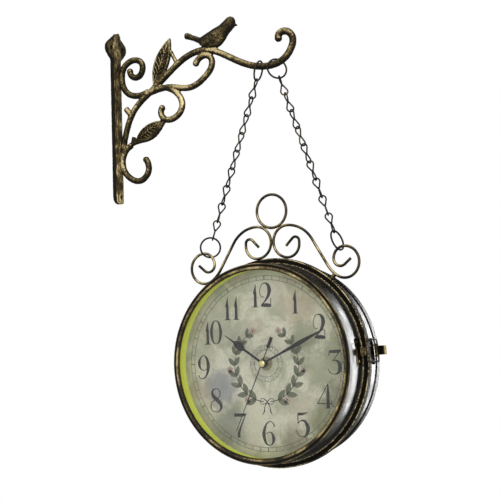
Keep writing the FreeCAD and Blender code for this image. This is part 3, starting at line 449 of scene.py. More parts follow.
# ---------------------------------------------------------------- materials: movement
HANDLING = 0.1              # how far marks of handling move a metal's roughness either way
CELL_END = (11.0, 11.4)     # from the clock's axis to the copper end of a battery's sleeve, in mm


def bright_metal(name, colour, shade, roughness, metallic=1.0):
    """Plated or turned metal with faint marks of handling."""
    look = Look(name)
    marks = look.noise(3, detail=4.0, roughness=0.6, stretch=(1.0, 4.0, 1.0))
    look.bump(marks, 0.02)
    rough = look.between(marks, roughness - HANDLING, roughness + HANDLING)
    return look.done(look.mix(marks, colour, shade), rough, metallic)


def moulded(name, colour, shade, roughness=0.45):
    """Moulded plastic or rubber with a fine spark finish."""
    look = Look(name)
    look.bump(look.noise(0.35, roughness=0.6), 0.02)
    return look.done(look.mix(look.noise(18, detail=2.0), colour, shade), roughness)


def cell_sleeve():
    """Battery: black sleeve with a copper-coloured end; plain, with no print."""
    look = Look("battery_sleeve")
    along = look.less(look.along(X), CLOCK.x / MM)
    front_end = look.step(along, *CELL_END)
    rear_end = look.step(along, *(-end for end in CELL_END))
    in_front = look.step(look.along(Y), 1.0, -1.0)
    copper = look.between(in_front, rear_end, front_end)
    scuff = look.noise(1.5, detail=4.0, roughness=0.7)
    colour = look.mix(copper, srgb(34, 36, 38), srgb(178, 128, 70))
    colour = look.tinted(colour, srgb(90, 90, 88), scuff, 0.2)
    return look.done(colour, 0.36, look.times(copper, 0.8))


# ---------------------------------------------------------------- materials: which node gets which
def dress_nodes():
    hardware = rubbed_and_highlit_wire("hardware_paint", 0.3, rough=0.6, gloss=0.0)
    crown = rubbed_and_highlit_wire("crown_paint", 0.2)
    chain = rubbed_and_highlit_wire("chain_bronze", 0.02)
    brass = bright_metal("brass", srgb(238, 226, 170), srgb(214, 196, 132), 0.34)
    black = hand_black()
    looks = {"bracket_casting": cast_bronze("cast_bronze"), "middle_rim": rim_paint()}
    for name in ("rear_hinge_leaf", "front_hinge_leaf", "hinge_pin", "front_hinge_rivets", "latch_catch",
                 "latch_base", "latch_pin", "latch_lever", "latch_catch_rivets", "latch_base_rivets"):
        looks[name] = hardware
    for name in ("latch_bail", "crown_ring", "left_crown_scroll", "right_crown_scroll"):
        looks[name] = crown
    for side in ("left", "right"):
        for kind in ("_top_ring", "_bottom_ring", "_chain"):
            looks[side + kind] = chain
    per_face = {
        "case_shell": drum_paint(), "bezel": bezel_paint(), "glass": clear_glass(),
        "spacer_ring": spacer_card(), "dial": dial_paper(),
        "movement_housing": moulded("movement_plastic", srgb(26, 27, 28), srgb(38, 38, 40)),
        "battery": cell_sleeve(),
        "battery_contacts": bright_metal("nickel_strip", srgb(196, 194, 186), srgb(160, 158, 150), 0.3),
        "rubber_washer": moulded("washer_rubber", srgb(24, 24, 24), srgb(34, 33, 32), 0.75),
        "mounting_nut": bright_metal("dull_brass", srgb(176, 168, 130), srgb(150, 142, 106), 0.6, 0.3),
        "setting_knob": moulded("knob_plastic", srgb(70, 70, 72), srgb(84, 84, 86)),
        "hour_pipe": brass, "minute_arbor": brass, "hub_cap": brass,
        "hour_hand": black, "minute_hand": black, "second_hand": black,
    }
    for kind, look in per_face.items():
        for face in FACES:
            looks[face + "_" + kind] = look
    for name, node in nodes.items():
        node.data.materials.clear()
        node.data.materials.append(looks[name])


# ---------------------------------------------------------------- printed dial
PRINT_THICKNESS = 0.05 * MM
NUMERAL_HEIGHT = 26.0
NUMERAL_CIRCLE = 75.3
NUMERAL_WEIGHT = 1.18
PAIR_SPACING = {0: 0.42, 1: 0.42, 2: 0.48}     # from a leading 1 to the digit after it
PAIR_SHIFT = -1.0
NUMERAL_SHIFT = {                              # how far each hour stands off its even place
    12: (-4.4, -2.1), 11: (-2.6, -4.8), 10: (-0.7, -3.2), 9: (-2.9, -3.2), 8: (1.8, -1.6), 7: (4.0, -1.0),
    6: (1.1, 1.0), 5: (4.4, 0.6), 4: (3.7, 3.2), 3: (6.2, 0.6), 2: (-1.0, 0.3), 1: (-1.1, 0.0),
}
TRACK_OUTER, TRACK_INNER = 93.8, 89.4
TRACK_LINE, MINUTE_MARK, HOUR_MARK = 0.45, 0.5, 1.0
HAIR = 0.028               # a numeral's thin stroke, as a share of its height
CURVE_STEPS = 7            # straight runs between two points of a curved stroke
CIRCLE_SIDES = 180

# strokes as (across, up, width) in shares of the numeral's height
DIGITS = {
    0: [[(0.0, 0.985, HAIR), (0.15, 0.87, 0.07), (0.225, 0.5, 0.115), (0.15, 0.13, 0.07),
         (0.0, 0.015, HAIR), (-0.15, 0.13, 0.07), (-0.225, 0.5, 0.115), (-0.15, 0.87, 0.07),
         (0.0, 0.985, HAIR)]],
    1: [[(0.035, 0.95, 0.012), (0.0, 0.72, 0.085), (-0.015, 0.54, 0.135)],
        [(0.01, 0.62, 0.1), (0.01, 0.3, 0.11), (0.01, 0.0, 0.125)],
        [(-0.13, 0.012, HAIR), (0.14, 0.012, HAIR)]],
    2: [[(-0.06, 0.43, HAIR), (-0.16, 0.41, HAIR), (-0.245, 0.55, HAIR), (-0.235, 0.76, HAIR),
         (-0.14, 0.94, HAIR), (0.0, 0.985, 0.04), (0.14, 0.9, 0.11), (0.2, 0.7, 0.145), (0.15, 0.48, 0.11),
         (0.0, 0.26, 0.06), (-0.2, 0.06, 0.03)],
        [(-0.2, 0.05, 0.04), (-0.08, 0.075, 0.12), (0.16, 0.065, 0.13), (0.28, 0.03, 0.05)],
        [(0.25, 0.06, HAIR), (0.265, 0.36, HAIR)]],
    3: [[(-0.22, 0.915, 0.09), (0.02, 0.92, 0.11), (0.2, 0.93, 0.11), (0.29, 0.97, 0.03)],
        [(-0.225, 0.96, HAIR), (-0.26, 0.76, HAIR)],
        [(0.26, 0.95, HAIR), (-0.09, 0.54, HAIR)],
        [(-0.09, 0.54, HAIR), (0.06, 0.565, 0.05), (0.19, 0.46, 0.11), (0.235, 0.28, 0.15),
         (0.16, 0.08, 0.09), (-0.02, 0.015, 0.03), (-0.2, 0.07, HAIR), (-0.3, 0.22, HAIR)]],
    4: [[(0.14, 0.97, 0.03), (-0.32, 0.2, 0.035)],
        [(-0.34, 0.19, 0.035), (0.32, 0.19, 0.035)],
        [(0.31, 0.31, HAIR), (0.31, 0.15, HAIR)],
        [(0.15, 0.98, 0.03), (0.145, 0.7, 0.09), (0.14, 0.4, 0.12), (0.14, 0.0, 0.13)],
        [(0.0, 0.012, HAIR), (0.29, 0.012, HAIR)]],
    5: [[(-0.2, 0.93, 0.1), (-0.06, 0.925, 0.095), (0.1, 0.95, 0.06), (0.24, 0.995, 0.015)],
        [(-0.21, 0.96, 0.035), (-0.22, 0.54, 0.035)],
        [(-0.22, 0.55, 0.035), (-0.08, 0.655, 0.04), (0.11, 0.62, 0.09), (0.235, 0.36, 0.155),
         (0.16, 0.1, 0.09), (0.0, 0.015, 0.03), (-0.2, 0.08, HAIR), (-0.3, 0.27, HAIR)]],
    6: [[(0.27, 0.78, 0.05), (0.2, 0.92, 0.035), (0.06, 0.985, HAIR), (-0.12, 0.86, 0.06),
         (-0.235, 0.48, 0.13), (-0.15, 0.12, 0.08), (0.02, 0.015, HAIR), (0.17, 0.11, 0.07),
         (0.215, 0.3, 0.125), (0.14, 0.5, 0.06), (0.02, 0.555, HAIR), (-0.12, 0.48, HAIR)]],
    7: [[(-0.27, 0.93, 0.11), (0.08, 0.93, 0.115), (0.22, 0.955, 0.07), (0.31, 0.995, 0.015)],
        [(-0.27, 1.0, HAIR), (-0.27, 0.84, HAIR)],
        [(0.25, 0.94, 0.035), (0.13, 0.68, 0.045), (0.01, 0.42, 0.07), (-0.07, 0.2, 0.105),
         (-0.08, 0.0, 0.12)]],
    8: [[(0.2, 0.8, 0.04), (0.13, 0.95, 0.03), (0.0, 0.985, 0.03), (-0.14, 0.92, 0.06), (-0.18, 0.79, 0.1),
         (-0.1, 0.64, 0.13), (0.05, 0.51, 0.14), (0.2, 0.37, 0.135), (0.24, 0.22, 0.11),
         (0.16, 0.06, 0.05), (0.0, 0.015, HAIR), (-0.19, 0.07, 0.035), (-0.26, 0.25, 0.04),
         (-0.19, 0.43, 0.03), (0.0, 0.54, HAIR), (0.15, 0.65, 0.03), (0.2, 0.8, 0.04)]],
    9: [[(0.2, 0.5, HAIR), (0.1, 0.4, HAIR), (-0.03, 0.37, HAIR), (-0.16, 0.45, 0.06),
         (-0.215, 0.65, 0.12), (-0.15, 0.88, 0.06), (0.0, 0.985, HAIR), (0.15, 0.88, 0.08),
         (0.225, 0.58, 0.135), (0.18, 0.28, 0.1), (0.06, 0.07, 0.05), (-0.08, 0.015, 0.03),
         (-0.2, 0.06, HAIR), (-0.26, 0.17, 0.035)]],
}


def smooth_path(points, steps):
    """Points on a smooth line through the given ones; closed where the first comes again last."""
    closed = len(points) > 2 and points[0] == points[-1]
    before = points[-2] if closed else [2 * a - b for a, b in zip(points[0], points[1])]
    after = points[1] if closed else [2 * a - b for a, b in zip(points[-1], points[-2])]
    padded = [before, *points, after]
    path = []
    for i in range(1, len(padded) - 2):
        p0, p1, p2, p3 = padded[i - 1:i + 3]
        for k in range(steps):
            t = k / steps
            path.append([0.5 * (2 * b + (c - a) * t + (2 * a - 5 * b + 4 * c - d) * t * t
                                + (3 * b - a - 3 * c + d) * t ** 3)
                         for a, b, c, d in zip(p0, p1, p2, p3)])
    path.append(list(points[-1]))
    return path


class Print:
    """Flat printed shapes on a dial, in millimetres from its centre, as seen from in front of it."""

    def __init__(self):
        self.corners, self.faces = [], []

    def polygon(self, points):
        """A thin slab over a convex outline."""
        first, count = len(self.corners), len(points)
        for lift in (0.0, PRINT_THICKNESS):
            self.corners += [(x * MM, DIAL_FACE - lift, z * MM) for x, z in points]
        self.faces.append([first + i for i in range(count)])
        self.faces.append([first + count + i for i in reversed(range(count))])
        for i in range(count):
            j = (i + 1) % count
            self.faces.append([first + j, first + i, first + count + i, first + count + j])

    def line(self, path):
        """A line of changing width straight through (x, z, width) points, as one closed slab."""
        rails = []
        for i, (x, z, width) in enumerate(path):
            ax, az = path[max(i - 1, 0)][:2]
            bx, bz = path[min(i + 1, len(path) - 1)][:2]
            length = math.hypot(bx - ax, bz - az) or 1.0
            nx, nz = -(bz - az) / length * width / 2, (bx - ax) / length * width / 2
            rails.append(((x + nx, z + nz), (x - nx, z - nz)))
        first = len(self.corners)
        for left, right in rails:
            for (x, z), lift in ((left, 0), (right, 0), (right, PRINT_THICKNESS), (left, PRINT_THICKNESS)):
                self.corners.append((x * MM, DIAL_FACE - lift, z * MM))
        for i in range(len(rails) - 1):
            a, b = first + 4 * i, first + 4 * i + 4
            for k in range(4):
                m = (k + 1) % 4
                self.faces.append([a + k, a + m, b + m, b + k])
        last = first + 4 * (len(rails) - 1)
        self.faces.append([first + 3, first + 2, first + 1, first])
        self.faces.append([last, last + 1, last + 2, last + 3])

    def curve(self, points, steps=CURVE_STEPS):
        """The same line, smooth between its points."""
        self.line(smooth_path(points, steps))

    def circle(self, radius, width, x=0.0, z=0.0, sides=CIRCLE_SIDES):
        angles = [2 * math.pi * i / sides for i in range(sides + 1)]
        self.line([(x + radius * math.cos(a), z + radius * math.sin(a), width) for a in angles])

    def place(self, name, material):
        """Puts the print on both dials."""
        for face in FACES:
            mesh = bpy.data.meshes.new(f"{face}_{name}")
            corners = [Vector(c) + Vector((CLOCK.x, 0, CLOCK.z)) for c in self.corners]
            mesh.from_pydata(corners, [], self.faces)
            if face == "rear":
                mesh.transform(REAR_TURN)
            mesh.materials.append(material)
            mesh.update()
            piece = bpy.data.objects.new(mesh.name, mesh)
            scene.collection.objects.link(piece)
            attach(piece, "front_case" if face == "front" else "clock")


def draw_digit(page, digit, x, z):
    for points in DIGITS[digit]:
        points = [(x + across * NUMERAL_HEIGHT, z + (up - 0.5) * NUMERAL_HEIGHT,
                   width * NUMERAL_HEIGHT * NUMERAL_WEIGHT) for across, up, width in points]
        if len(points) == 2:
            page.line(points)
        else:
            page.curve(points)


def numerals():
    page = Print()
    for hour in range(1, 13):
        a = math.radians(30 * hour)
        shift_x, shift_z = NUMERAL_SHIFT[hour]
        x, z = NUMERAL_CIRCLE * math.sin(a) + shift_x, NUMERAL_CIRCLE * math.cos(a) + shift_z
        if hour < 10:
            draw_digit(page, hour, x, z)
        else:
            half = PAIR_SPACING[hour - 10] * NUMERAL_HEIGHT / 2
            draw_digit(page, 1, x - half + PAIR_SHIFT, z)
            draw_digit(page, hour - 10, x + half + PAIR_SHIFT, z)
    return page


def minute_track():
    page = Print()
    for radius in (TRACK_OUTER, TRACK_INNER):
        page.circle(radius, TRACK_LINE)
    for minute in range(60):
        a = math.radians(6 * minute)
        width = MINUTE_MARK if minute % 5 else HOUR_MARK
        page.line([(radius * math.sin(a), radius * math.cos(a), width)
                   for radius in (TRACK_INNER, TRACK_OUTER)])
    return page


# ---------------------------------------------------------------- ornament: a plain leafy wreath
# Lengths in mm. A place on a sprig is an angle in degrees from the wreath's lowest point.
WREATH_RADIUS = 39.0
WREATH_DROP = 2.0              # how far its centre lies below the dial's
STEM_START, STEM_SWEEP, STEM_RUNS = 6, 150, 30
STEM_WIDTH, STEM_TAPER = 1.0, 0.02
LEAF_PAIRS, LEAF_START, LEAF_PITCH = 8, 20, 17.5
LEAF_LENGTH, LEAF_HALF = 13.5, 2.9
LEAF_SHRINK = 0.045            # each pair is smaller than the one before it by this share of the first
LEAF_LEANS = (-0.72, 0.55)     # how far a pair's two leaves turn off the stem, in radians
LEAF_SHAPE = ((0.0, 0.0), (0.22, 0.75), (0.5, 1.0), (0.8, 0.62), (1.0, 0.0))
LEAF_STEPS = 5
MIDRIB_SHARE = 0.92            # the midrib's length, as a share of the leaf's
HATCH_LINES, HATCH_PITCH = 7, 1 / 8.5
HATCH_REACH, HATCH_ROUND, HATCH_SLANT = 0.86, 0.8, 1.6
LEAF_PEN, MIDRIB_PEN, HATCH_PEN, LIGHT_HATCH_PEN = 0.42, (0.55, 0.2), (0.34, 0.16), (0.26, 0.14)

TIP_FLOWER_TURN, TIP_FLOWER_IN, TIP_FLOWER_DROP, TIP_FLOWER_SIZE = 156, 0.98, 1.0, 3.4
SIDE_FLOWER_TURNS, SIDE_FLOWER_OUT, SIDE_FLOWER_SIZE = (32, 82), 1.17, 3.6
PETALS, PETAL_TURN, PETAL_SIDES = 5, 0.3, 14
PETAL_PLACE, PETAL_SIZE, EYE_SIZE = 0.62, 0.42, 0.16      # shares of the flower's size
PETAL_PEN, EYE_PEN, EYE_SIDES = 0.3, 0.6, 10

# the right half of the ribbon, from the knot: (across, up, width)
RIBBON_LOOP = ((0.0, 0.0, 1.1), (5.5, 4.0, 0.7), (8.5, 0.5, 0.6), (5.0, -2.4, 0.7), (0.0, 0.0, 1.1))
RIBBON_TAIL = ((0.0, 0.0, 1.1), (3.2, -5.5, 0.9), (3.8, -10.0, 1.5), (6.4, -14.0, 0.3))
RIBBON_STEPS = 6

# arches about the hands' centre: how many, radius of their ring, of each, sides, pen
ARCHES, ARCH_RING, ARCH_RADIUS, ARCH_SIDES, ARCH_PEN = 16, 17.0, 2.0, 12, 0.3
CENTRE_RINGS = ((14.4, 0.4), (19.6, 0.3))      # radius, pen
CENTRE_RING_SIDES = 90


def turned_point(x, z, angle, base):
    """A point given along and across a direction, from a base."""
    return (base[0] + x * math.cos(angle) - z * math.sin(angle),
            base[1] + x * math.sin(angle) + z * math.cos(angle))


def sprig_angle(side, degrees):
    return math.radians(-90 + side * degrees)


def sprig_point(side, degrees, radius=WREATH_RADIUS, drop=WREATH_DROP):
    angle = sprig_angle(side, degrees)
    return (radius * math.cos(angle), radius * math.sin(angle) - drop)


def printed_leaf(lines, fill, base, angle, length, half):
    """One engraved leaf: outline, midrib and hatching, heavier on one side, over a pale tint."""
    edges = []
    for side in (1, -1):
        edge = [turned_point(a * length, side * b * half, angle, base) for a, b in LEAF_SHAPE]
        edges.append(edge)
        lines.curve([(x, z, LEAF_PEN) for x, z in edge], LEAF_STEPS)
    for i in range(len(LEAF_SHAPE) - 1):
        fill.polygon([edges[0][i], edges[0][i + 1], edges[1][i + 1], edges[1][i]][::-1])
    midrib = length * MIDRIB_SHARE

    def straight(start, end, pens):
        lines.line([(*start, pens[0]), (*end, pens[1])])

    straight(base, turned_point(midrib, 0, angle, base), MIDRIB_PEN)
    for k in range(1, HATCH_LINES + 1):
        along = k * HATCH_PITCH
        reach = half * HATCH_REACH * math.sin(math.pi * along) ** HATCH_ROUND
        start = turned_point(along * midrib, 0, angle, base)
        straight(start, turned_point(along * midrib + HATCH_SLANT, reach, angle, base), HATCH_PEN)
        if k % 2 == 0:
            straight(start, turned_point(along * midrib + HATCH_SLANT, -reach, angle, base), LIGHT_HATCH_PEN)


def printed_flower(lines, petals, centre, size):
    """Five round petals about a dark eye."""
    radius = size * PETAL_SIZE
    for k in range(PETALS):
        a = 2 * math.pi * k / PETALS + PETAL_TURN
        x = centre[0] + size * PETAL_PLACE * math.cos(a)
        z = centre[1] + size * PETAL_PLACE * math.sin(a)
        turns = [2 * math.pi * i / PETAL_SIDES for i in range(PETAL_SIDES)]
        petals.polygon([(x + radius * math.cos(b), z + radius * math.sin(b)) for b in turns])
        lines.circle(radius, PETAL_PEN, x, z, PETAL_SIDES)
    lines.circle(size * EYE_SIZE, EYE_PEN, centre[0], centre[1], EYE_SIDES)


def sprig(lines, leaves, petals, side):
    """One half of the wreath: stem, pairs of leaves and three flowers."""
    turns = [STEM_START + STEM_SWEEP * i / STEM_RUNS for i in range(STEM_RUNS + 1)]
    lines.line([(*sprig_point(side, turn), STEM_WIDTH - STEM_TAPER * i) for i, turn in enumerate(turns)])
    for pair in range(LEAF_PAIRS):
        turn = LEAF_START + LEAF_PITCH * pair
        ahead = sprig_angle(side, turn) + side * math.pi / 2
        size = 1.0 - LEAF_SHRINK * pair
        for lean in LEAF_LEANS:
            printed_leaf(lines, leaves, sprig_point(side, turn), ahead + side * lean,
                         LEAF_LENGTH * size, LEAF_HALF * size)
    x, z = sprig_point(side, TIP_FLOWER_TURN, drop=TIP_FLOWER_DROP)
    printed_flower(lines, petals, (x * TIP_FLOWER_IN, z), TIP_FLOWER_SIZE)
    for turn in SIDE_FLOWER_TURNS:
        place = sprig_point(side, turn, WREATH_RADIUS * SIDE_FLOWER_OUT, 0.0)
        printed_flower(lines, petals, place, SIDE_FLOWER_SIZE)


def wreath():
    lines, leaves, petals = Print(), Print(), Print()
    for side in SIDES:
        sprig(lines, leaves, petals, side)
    knot_height = -WREATH_RADIUS - WREATH_DROP
    for side in SIDES:
        for strip in (RIBBON_LOOP, RIBBON_TAIL):
            lines.curve([(side * x, knot_height + z, width) for x, z, width in strip], RIBBON_STEPS)
    for k in range(ARCHES):
        a = 2 * math.pi * k / ARCHES
        lines.circle(ARCH_RADIUS, ARCH_PEN, ARCH_RING * math.cos(a), ARCH_RING * math.sin(a), ARCH_SIDES)
    for radius, pen in CENTRE_RINGS:
        lines.circle(radius, pen, sides=CENTRE_RING_SIDES)
    return lines, leaves, petals


def print_dials():
    numerals().place("numerals", ink("numeral_ink", srgb(22, 23, 24), srgb(72, 74, 70)))
    minute_track().place("minute_track", ink("track_ink", srgb(62, 62, 58), srgb(104, 104, 94)))
    lines, leaves, petals = wreath()
    leaves.place("wreath_leaves", ink("leaf_tint", srgb(124, 128, 100), srgb(160, 162, 134)))
    petals.place("wreath_petals", ink("petal_tint", srgb(206, 176, 160), srgb(210, 192, 174)))
    lines.place("wreath_lines", ink("ornament_ink", srgb(40, 39, 44), srgb(96, 96, 92)))


# ---------------------------------------------------------------- casting detail, in mm
CAST_LEAVES = {                 # base and tip (out, up), width, share of it below the midrib
    "upper_leaf": ((54.3, -48.3), (77.4, 4.0), 19.0, 0.5),
    "lower_leaf": ((28.2, -109.2), (63.2, -89.2), 16.0, 0.56),
}
CAST_LEAF_SHAPE = ((0.03, 0.1), (0.2, 0.72), (0.5, 1.0), (0.8, 0.62), (0.97, 0.06))
RIM_FACE, FIELD_FACE = 1.7, 0.8      # from a leaf's middle plane to its rim, and to its sunk fields
RIM_INSET, RIM_WIRE = 0.8, 0.6
MIDRIB_WIRE = ((0.0, 1.0), (0.5, 0.8), (0.95, 0.5))      # share of the leaf's length, thickness
VEINS, VEIN_START, VEIN_PITCH = 7, 0.06, 0.1             # shares of the leaf's length
VEIN_MIDDLE, VEIN_END, VEIN_SHORT, VEIN_LIFT = 0.07, 0.12, 0.14, 0.3
VEIN_WIRE, VEIN_MIDDLE_WIRE = 0.4, 0.45

WING_CENTRE = (132.5, 5.0, -3.6)
WING_HALF = (15.0, 1.9, 5.2)
WING_TILT = 25.0
WING_EDGE = 0.02                     # keeps a feather's ends on the wing's round edge
QUILLS_ACROSS, QUILL_STOPS, QUILL_WIRE = (-0.6, -0.25, 0.12, 0.48), (-0.78, -0.45, -0.1, 0.2), 0.42
QUILL_NARROWING = (0.55, 0.45, 1.2)
BARBS_ALONG, BARB_STOPS, BARB_WIRE = (0.3, 0.52, 0.72), (-0.9, -0.45, 0.0, 0.45, 0.9), 0.45
BARB_BULGE, BARB_REACH = 0.1, 0.9

SKIN_VOXEL = 0.7
MELT_FACTOR, MELT_ROUNDS = 0.5, 6
SAND_SIZE, SAND_DEPTH, SAND_RELIEF = 2.6, 2, 0.45


def tube(name, paths, material):
    """Round strips of the casting through (x, y, z, radius) points, all in one object."""
    curve = bpy.data.curves.new(name, "CURVE")
    curve.dimensions = "3D"
    curve.bevel_depth = 1.0
    curve.bevel_resolution = 2
    curve.use_fill_caps = True
    curve.resolution_u = 4
    for path in paths:
        line = curve.splines.new("NURBS")
        line.points.add(len(path) - 1)
        for point, (x, y, z, radius) in zip(line.points, path):
            point.co = (x * MM, y * MM, z * MM, 1.0)
            point.radius = radius * MM
        line.order_u = 3
        line.use_endpoint_u = True
    curve.materials.append(material)
    piece = bpy.data.objects.new(name, curve)
    scene.collection.objects.link(piece)
    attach(piece, "bracket")


def leaf_share(along):
    """Half width of a cast leaf at a share of its length, as a share of its widest."""
    for (a, b), (c, d) in zip(CAST_LEAF_SHAPE, CAST_LEAF_SHAPE[1:]):
        if along <= c:
            return b + (d - b) * (along - a) / (c - a)
    return CAST_LEAF_SHAPE[-1][1]


def leaf_veins(name, base, tip, width, low_share, material):
    """Beaded rim, midrib and side veins on both sides of a cast leaf."""
    length = math.hypot(tip[0] - base[0], tip[1] - base[1])
    angle = math.atan2(tip[1] - base[1], tip[0] - base[0])

    def at(along, across, y, radius):
        x, z = turned_point(along * length, across, angle, base)
        return (x, y, z, radius)

    paths = []
    for face in SIDES:
        rim, field = face * RIM_FACE, face * (FIELD_FACE + VEIN_LIFT)
        for side, share in ((1, 1 - low_share), (-1, low_share)):
            half = width * share
            paths.append([at(a, side * (b * half - RIM_INSET), rim, RIM_WIRE) for a, b in CAST_LEAF_SHAPE])
            for k in range(1, VEINS + 1):
                start = VEIN_START + VEIN_PITCH * k
                reach = side * half * (leaf_share(start + VEIN_END) - VEIN_SHORT)
                paths.append([at(start, 0.0, rim, VEIN_WIRE),
                              at(start + VEIN_MIDDLE, reach * 0.5, field, VEIN_MIDDLE_WIRE),
                              at(start + VEIN_END, reach, rim, VEIN_WIRE)])
        paths.append([at(along, 0.0, rim, wire) for along, wire in MIDRIB_WIRE])
    tube(name, paths, material)


def wing_point(side, along, across, radius):
    """A point on a folded wing, along and across as shares of its half sizes."""
    out = math.sqrt(max(WING_EDGE, 1 - along ** 2 - across ** 2))
    x, z = turned_point(along * WING_HALF[0], across * WING_HALF[2], math.radians(WING_TILT), (0, 0))
    return (WING_CENTRE[0] + x, side * (WING_CENTRE[1] + WING_HALF[1] * out), WING_CENTRE[2] + z, radius)


def bird_feathers(material):
    """Quills along both wings and bars across their tips."""
    least, more, bend = QUILL_NARROWING
    paths = []
    for side in SIDES:
        for across in QUILLS_ACROSS:
            paths.append([wing_point(side, a, across * (least + more * math.cos(a * bend)), QUILL_WIRE)
                          for a in QUILL_STOPS])
        for along in BARBS_ALONG:
            reach = math.sqrt(1 - along ** 2) * BARB_REACH
            paths.append([wing_point(side, along + BARB_BULGE * (1 - c * c), c * reach, BARB_WIRE)
                          for c in BARB_STOPS])
    tube("bird_feathers", paths, material)


def soften_casting():
    """Rounds the joints of the casting as molten metal does, and gives it a sand-cast skin."""
    casting = nodes["bracket_casting"]
    skin = casting.modifiers.new("skin", "REMESH")
    skin.mode, skin.voxel_size, skin.use_smooth_shade = "VOXEL", SKIN_VOXEL * MM, True
    melt = casting.modifiers.new("melt", "SMOOTH")
    melt.factor, melt.iterations = MELT_FACTOR, MELT_ROUNDS
    sand = bpy.data.textures.new("sand", "CLOUDS")
    sand.noise_scale, sand.noise_depth = SAND_SIZE * MM, SAND_DEPTH
    grit = casting.modifiers.new("grit", "DISPLACE")
    grit.texture, grit.strength, grit.mid_level = sand, SAND_RELIEF * MM, 0.5
    grit.texture_coords = "LOCAL"


def add_casting_detail():
    raised = cast_bronze("raised_bronze", 0.08)
    for name, leaf in CAST_LEAVES.items():
        leaf_veins(name + "_veins", *leaf, raised)
    bird_feathers(raised)
    soften_casting()


# ---------------------------------------------------------------- stage, in metres
WORLD_STRENGTH = 0.8
FLOOR_HEIGHT, FLOOR_HALF = -1.60, 6.0
SHADOW_REACH = (0.2, 0.6)      # from below the clock to where the floor's shadow fades, and is gone
SHADOW_SHARE = 0.25

KEY_WAY, KEY_DISTANCE, KEY_SIZE, KEY_POWER = (0.62, -0.66, 0.62), 1.9, 0.9, 13.0
# Gridded lamps behind the clock, for the sheen on its side only: turn about the axis, power. The
# drum's side mirrors them to the camera, whose azimuth has this sine and cosine.
SHEEN_LAMPS = ((-26, 0.08), (-13, 0.19), (0, 0.26), (13, 0.24), (26, 0.11))
SHEEN_DISTANCE, SHEEN_SIZE, SHEEN_SPREAD = 1.7, 0.4, 15.0
VIEW_OUT, VIEW_BACK = 0.494, 0.87

CARD_DISTANCE, CARD_LEFT, CARD_RIGHT, CARD_HALF, CARD_FADE = 1.0, -1.1, 0.12, 1.0, 0.1


def seen_directly(tree):
    """1 for rays that show the background: camera, glossy and transmission rays."""
    light_path = tree.nodes.new("ShaderNodeLightPath")
    share = light_path.outputs["Is Camera Ray"]
    for kind in ("Is Glossy Ray", "Is Transmission Ray"):
        larger = tree.nodes.new("ShaderNodeMath")
        larger.operation = "MAXIMUM"
        tree.links.new(share, larger.inputs[0])
        tree.links.new(light_path.outputs[kind], larger.inputs[1])
        share = larger.outputs[0]
    return share


def white_world():
    """Soft even light that shows as plain white."""
    world = bpy.data.worlds.new("studio")
    world.use_nodes = True
    tree = world.node_tree
    soft, white = tree.nodes["Background"], tree.nodes.new("ShaderNodeBackground")
    for background, strength in ((soft, WORLD_STRENGTH), (white, 1.0)):
        background.inputs["Color"].default_value = (*WHITE, 1.0)
        background.inputs["Strength"].default_value = strength
    mixed = tree.nodes.new("ShaderNodeMixShader")
    for i, socket in enumerate((seen_directly(tree), soft.outputs[0], white.outputs[0])):
        tree.links.new(socket, mixed.inputs[i])
    tree.links.new(mixed.outputs[0], tree.nodes["World Output"].inputs["Surface"])
    scene.world = world


def stage_quad(name, corners, material):
    mesh = bpy.data.meshes.new(name)
    mesh.from_pydata(corners, [], [(0, 1, 2, 3)])
    mesh.materials.append(material)
    quad = bpy.data.objects.new(name, mesh)
    scene.collection.objects.link(quad)
    return quad


def pale_floor():
    """Plain floor that looks white and keeps a soft shadow."""
    look = Look("floor_white")
    look.done(look.mix(look.noise(400, detail=2.0), srgb(238, 238, 238), srgb(244, 244, 244)), 0.8)
    glow = look.node("Emission", {"Color": WHITE, "Strength": 1.0})
    away = look.step(look.distance((CLOCK.x, 0.0, FLOOR_HEIGHT)), *SHADOW_REACH)
    plain = look.between(away, 1.0 - SHADOW_SHARE, 1.0)
    share = look.times(seen_directly(look.tree), plain)
    material = look.blended(share, look.surface.outputs[0], glow.outputs[0])
    corners = [(x * FLOOR_HALF, y * FLOOR_HALF, FLOOR_HEIGHT)
               for x, y in ((-1, -1), (1, -1), (1, 1), (-1, 1))]
    stage_quad("floor", corners, material)


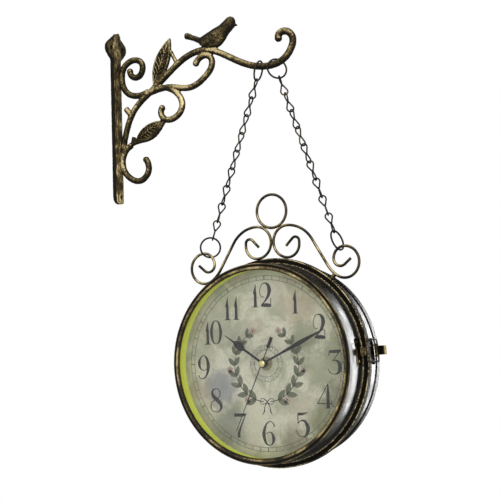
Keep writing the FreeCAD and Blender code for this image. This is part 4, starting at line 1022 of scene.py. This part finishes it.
def dark_card():
    """Black card behind the wall's side of the clock; only gloss shows it, so it keeps the enamel dark.

    Its edges fade over twice CARD_FADE, so that no hard line shows in the glass.
    """
    look = Look("card_black")
    look.done(look.mix(look.noise(300, detail=2.0), srgb(8, 8, 7), srgb(14, 14, 12)), 0.9, specular=0.0)
    across = look.less(look.part(look.place, X), CLOCK.x)
    up = look.less(look.part(look.place, Z), CLOCK.z)
    share = look.times(look.band(across, CARD_LEFT, CARD_RIGHT, CARD_FADE),
                       look.band(up, -CARD_HALF, CARD_HALF, CARD_FADE))
    clear = look.node("BsdfTransparent", {"Color": WHITE})
    material = look.blended(share, clear.outputs[0], look.surface.outputs[0])
    left, right, half = CARD_LEFT - CARD_FADE, CARD_RIGHT + CARD_FADE, CARD_HALF + CARD_FADE
    corners = [(CLOCK.x + x, CARD_DISTANCE, CLOCK.z + z)
               for x, z in ((left, -half), (right, -half), (right, half), (left, half))]
    card = stage_quad("dark_card", corners, material)
    card.visible_camera = card.visible_diffuse = card.visible_transmission = card.visible_shadow = False


def soft_box(name, way, distance, size, power):
    """A square lamp that looks at the clock from a direction."""
    lamp = bpy.data.lights.new(name, "AREA")
    lamp.shape, lamp.size, lamp.size_y, lamp.energy = "RECTANGLE", size, size, power
    box = bpy.data.objects.new(name, lamp)
    direction = Vector(way).normalized()
    box.location = CLOCK + direction * distance
    box.rotation_mode = "QUATERNION"
    box.rotation_quaternion = direction.to_track_quat("Z", "Y")
    box.visible_camera = False
    scene.collection.objects.link(box)
    return box


def enamelled():
    """The pieces that the gridded lamps light; the glass is left out, as it would only glare."""
    group = bpy.data.collections.new("enamelled")
    for face in FACES:
        for kind in ("_case_shell", "_bezel"):
            group.objects.link(nodes[face + kind])
    group.objects.link(nodes["middle_rim"])
    return group


def light_studio():
    white_world()
    pale_floor()
    dark_card()
    soft_box("key_lamp", KEY_WAY, KEY_DISTANCE, KEY_SIZE, KEY_POWER)
    lit = enamelled()
    for i, (turn, power) in enumerate(SHEEN_LAMPS):
        out, up = math.cos(math.radians(turn)), math.sin(math.radians(turn))
        way = (2 * VIEW_OUT * out * out - VIEW_OUT, VIEW_BACK, 2 * VIEW_OUT * out * up)
        box = soft_box(f"sheen_lamp_{i}", way, SHEEN_DISTANCE, SHEEN_SIZE, power)
        box.data.spread = math.radians(SHEEN_SPREAD)
        box.visible_diffuse = False
        box.light_linking.receiver_collection = lit


# ---------------------------------------------------------------- making
add_camera()
light_studio()
dress_nodes()
print_dials()
add_casting_detail()
scene.view_settings.view_transform = "Standard"
